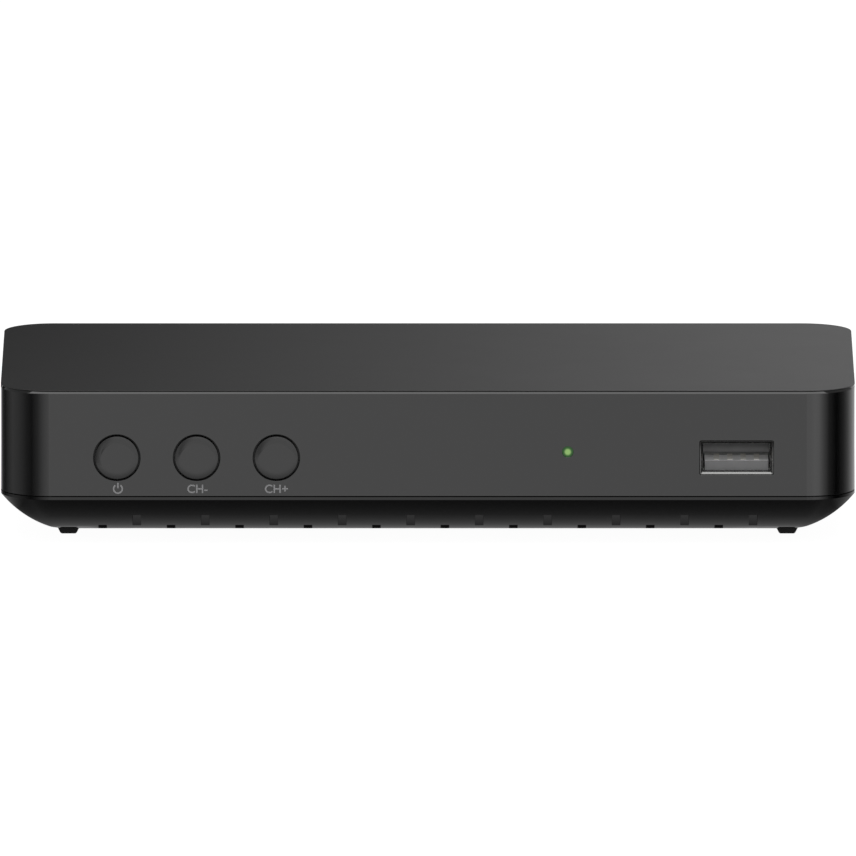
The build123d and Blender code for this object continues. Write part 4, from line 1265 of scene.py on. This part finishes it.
def bent_card(name, side, stops, strength):
    """An upright card bent round a front corner of the case, shaded by bearing from straight ahead."""
    reach, height, inset = 0.055, 0.034, sizes().corner_radius
    first, last = stops[0][0], stops[-1][0]
    middle = Vector((side * (HALF_WIDTH - inset), FRONT_Y + inset, 0))
    deselect()
    bpy.ops.mesh.primitive_circle_add(vertices=180, radius=reach, location=middle)
    piece = settle(name, "EDIT")
    def outside(point):
        out = point.co - middle
        return not math.radians(first) < math.atan2(side * out.x, -out.y) < math.radians(last)
    pick("VERT", outside)
    bpy.ops.mesh.delete(type="VERT")
    take_all()
    draw_out(UP * height)
    leave()
    def shade(finish):
        x, y, _ = finish.axes()
        bearing = finish.node("ShaderNodeMath", {"operation": "ARCTAN2"}, {
            0: (x - middle.x) * float(side), 1: middle.y - y})
        return finish.ramp(bearing / math.pi, *[(place / 180, tone) for place, tone in stops])
    as_card(piece, shade, strength)


def only_output(finish):
    """The output of a finish without its usual shader."""
    for node in list(finish.tree.nodes):
        if node.bl_idname in ("ShaderNodeBsdfPrincipled", "ShaderNodeBackground"):
            finish.tree.nodes.remove(node)
    return next(n for n in finish.tree.nodes if n.bl_idname.startswith("ShaderNodeOutput"))


def rays(finish, *kinds):
    """One for each kind of ray while the light follows it, else zero."""
    path = finish.node("ShaderNodeLightPath").socket.node.outputs
    return [Value(finish, path[f"Is {kind} Ray"]) for kind in kinds]


def lit_card(finish, shade, strength):
    """A card that shines with a shade made from its place."""
    out = only_output(finish)
    finish.put(out.inputs[0], finish.node("ShaderNodeEmission", inputs={
        "Color": shade(finish), "Strength": strength}))


def floor_finish(finish, base):
    """Pale floor: white to the eye; for reflections a painted lit patch in front and a painted shadow under
    the case.
    """
    out = only_output(finish)
    x, y, _ = finish.axes()
    beyond = finish.node("ShaderNodeMath", {"operation": "MAXIMUM"}, {
        0: abs(x) - HALF_WIDTH, 1: abs(y - MID_Y) - (BACK_Y - FRONT_Y) / 2})
    # painted shadow under and close round the case, rising to painted light further out, seen only in
    # reflections
    clear = finish.ramp(beyond / 0.08 + 0.25, (0.07, 0.26), (0.14, 0.21), (0.2, 0.085), (0.25, 0.0),
                        (0.33, 0.25), (0.4, 0.5), (0.52, 0.66), (0.7, 0.86), (0.94, 0.9))
    # painted lit patch in front of the case, with painted shade to either side of it
    patch = rising(finish, x, -0.112, -0.083) * rising(finish, x, 0.14, 0.19, 1.0, 0.0)
    behind = rising(finish, y, FRONT_Y - 0.02, FRONT_Y + 0.01)
    sides = 0.4 + (patch + (1 - patch) * behind) * 0.6
    eye, gloss, glass = rays(finish, "Camera", "Glossy", "Transmission")
    mottle = finish.noise(0.3, 2.0)
    glow = finish.node("ShaderNodeEmission", inputs={
        "Color": (1, 1, 1, 1), "Strength": eye * 0.97 + (1 - eye) * clear * sides})
    pale = finish.node("ShaderNodeBsdfDiffuse", inputs={
        "Color": finish.blend(mottle, *shades(base, 0.01))})
    grey = finish.node("ShaderNodeBsdfDiffuse", inputs={"Color": (0.14, 0.14, 0.14, 1)})
    seen = finish.node("ShaderNodeAddShader", inputs={0: glow, 1: grey})
    finish.put(out.inputs[0], finish.node("ShaderNodeMixShader", inputs={
        0: eye + gloss + glass, 1: pale, 2: seen}))


def studio_air(finish):
    """White to the eye, an even grey for light, and dim in reflections."""
    out = only_output(finish)
    eye, gloss = rays(finish, "Camera", "Glossy")
    light = finish.node("ShaderNodeBackground", inputs={
        "Color": (1, 1, 1, 1), "Strength": 0.5 + eye * 0.5 - gloss * 0.2})
    finish.put(out.inputs[0], light)


def wall_ahead(finish):
    """Shade of the wall in front: bright high up, half as bright lower down and dim on the left there."""
    x, _, z = finish.axes()
    high = rising(finish, z, 0.45, 0.53)
    return high + (1 - high) * rising(finish, x, -0.3, -0.1, 0.18, 0.42)


def wall_behind(finish):
    """Shade of the wall at the back: dim on the left, bright on the right."""
    x = finish.axes()[0]
    return finish.ramp(x * 2.0 + 0.5, (0.0, 0.03), (0.34, 0.06), (0.5, 0.36), (0.66, 0.8), (1.0, 1.0))


class RECEIVER_OT_stage(bpy.types.Operator):
    """Pale floor, soft lamps, cards for the reflections and the camera"""
    bl_idname = "receiver.stage"
    bl_label = "Stage"

    def execute(self, context):
        s = context.scene.receiver_stage
        scene = context.scene
        scene.view_settings.view_transform = "Standard"
        scene.world = bpy.data.worlds.new("studio_air")
        studio_air(Finish(scene.world))
        deselect()
        bpy.ops.mesh.primitive_plane_add(size=6, location=(0, 0, 0))
        floor = settle("floor")
        floor.data.materials.append(finish_for("floor_pale", floor_finish, tuple(s.floor)))
        data = bpy.data.lights.new("overhead", "AREA")
        data.shape, data.size, data.energy = "SQUARE", 1.0, s.lamp_power
        light = bpy.data.objects.new("overhead", data)
        light.location = (0, -0.25, 1.1)
        light.rotation_euler = (-light.location).to_track_quat("-Z", "Y").to_euler()
        scene.collection.objects.link(light)
        flat_card("back_wall", (0, BACK_Y + 0.12, 0.06), width=0.5, height=0.3,
                  shade=wall_behind, strength=0.9)
        flat_card("front_wall", (0, FRONT_Y - 0.55, 0.47), width=2.0, height=0.94,
                  shade=wall_ahead, strength=2.3)
        bent_card("left_wall", -1, [
            (4, 0.9), (15, 0.64), (28, 0.25), (41, 0.06), (53, 0.14), (65, 0.28), (76, 0.36), (91, 0.38),
            (102, 0.24), (110, 0.14), (120, 0.05), (131, 0.06), (138, 0.12), (147, 0.32), (152, 0.85)], 1.0)
        bent_card("right_wall", 1, [
            (4, 0.88), (13, 0.9), (22, 0.99), (30, 0.91), (41, 0.48), (53, 0.12), (63, 0.04), (71, 0.0),
            (79, 0.02), (92, 0.1), (106, 0.27), (120, 0.49), (132, 0.62), (149, 0.55), (152, 0.66)], 1.33)
        data = bpy.data.cameras.new("camera")
        data.lens = data.sensor_width / 2 / math.tan(s.half_field)
        data.clip_start, data.clip_end = 0.1, 40
        camera = bpy.data.objects.new("camera", data)
        scene.collection.objects.link(camera)
        away = s.view_width / 2 / math.tan(s.half_field)
        outwards = Vector((0, -math.cos(s.elevation), math.sin(s.elevation)))
        camera.location = Vector((s.aim_shift, 0, s.aim_height)) + outwards * away
        camera.rotation_euler = (math.pi / 2 - s.elevation, 0, 0)
        scene.camera = camera
        return {"FINISHED"}


PIECES = (
    RECEIVER_OT_lid, RECEIVER_OT_band, RECEIVER_OT_base, RECEIVER_OT_feet, RECEIVER_OT_keys,
    RECEIVER_OT_legends, RECEIVER_OT_lamp, RECEIVER_OT_usb_socket, RECEIVER_OT_aerial_sockets,
    RECEIVER_OT_rear_jacks, RECEIVER_OT_screws, RECEIVER_OT_board_parts, RECEIVER_OT_stage,
)
GROUPS = {"receiver_sizes": ReceiverSizes, "receiver_colours": ReceiverColours,
          "receiver_stage": ReceiverStage}


class RECEIVER_PT_pieces(bpy.types.Panel):
    """Sizes, colours and the makers of the pieces"""
    bl_idname = "RECEIVER_PT_pieces"
    bl_label = "Receiver"
    bl_space_type = "VIEW_3D"
    bl_region_type = "UI"
    bl_category = "Receiver"

    def draw(self, context):
        for attribute, group in GROUPS.items():
            column = self.layout.box().column()
            for key in group.__annotations__:
                column.prop(getattr(context.scene, attribute), key)
        for maker in PIECES:
            self.layout.operator(maker.bl_idname)


def register():
    for group in GROUPS.values():
        bpy.utils.register_class(group)
    for attribute, group in GROUPS.items():
        setattr(bpy.types.Scene, attribute, PointerProperty(type=group))
    for maker in PIECES + (RECEIVER_PT_pieces,):
        bpy.utils.register_class(maker)


def unregister():
    for maker in reversed(PIECES + (RECEIVER_PT_pieces,)):
        bpy.utils.unregister_class(maker)
    for attribute, group in GROUPS.items():
        delattr(bpy.types.Scene, attribute)
        bpy.utils.unregister_class(group)


def main():
    """Register the panel and its sizes, then make every piece and the stage."""
    register()
    bpy.ops.receiver.lid()
    bpy.ops.receiver.band()
    bpy.ops.receiver.base()
    bpy.ops.receiver.feet()
    bpy.ops.receiver.keys()
    bpy.ops.receiver.legends()
    bpy.ops.receiver.lamp()
    bpy.ops.receiver.usb_socket()
    bpy.ops.receiver.aerial_sockets()
    bpy.ops.receiver.rear_jacks()
    bpy.ops.receiver.screws()
    bpy.ops.receiver.board_parts()
    bpy.ops.receiver.stage()


if __name__ == "__main__":
    main()
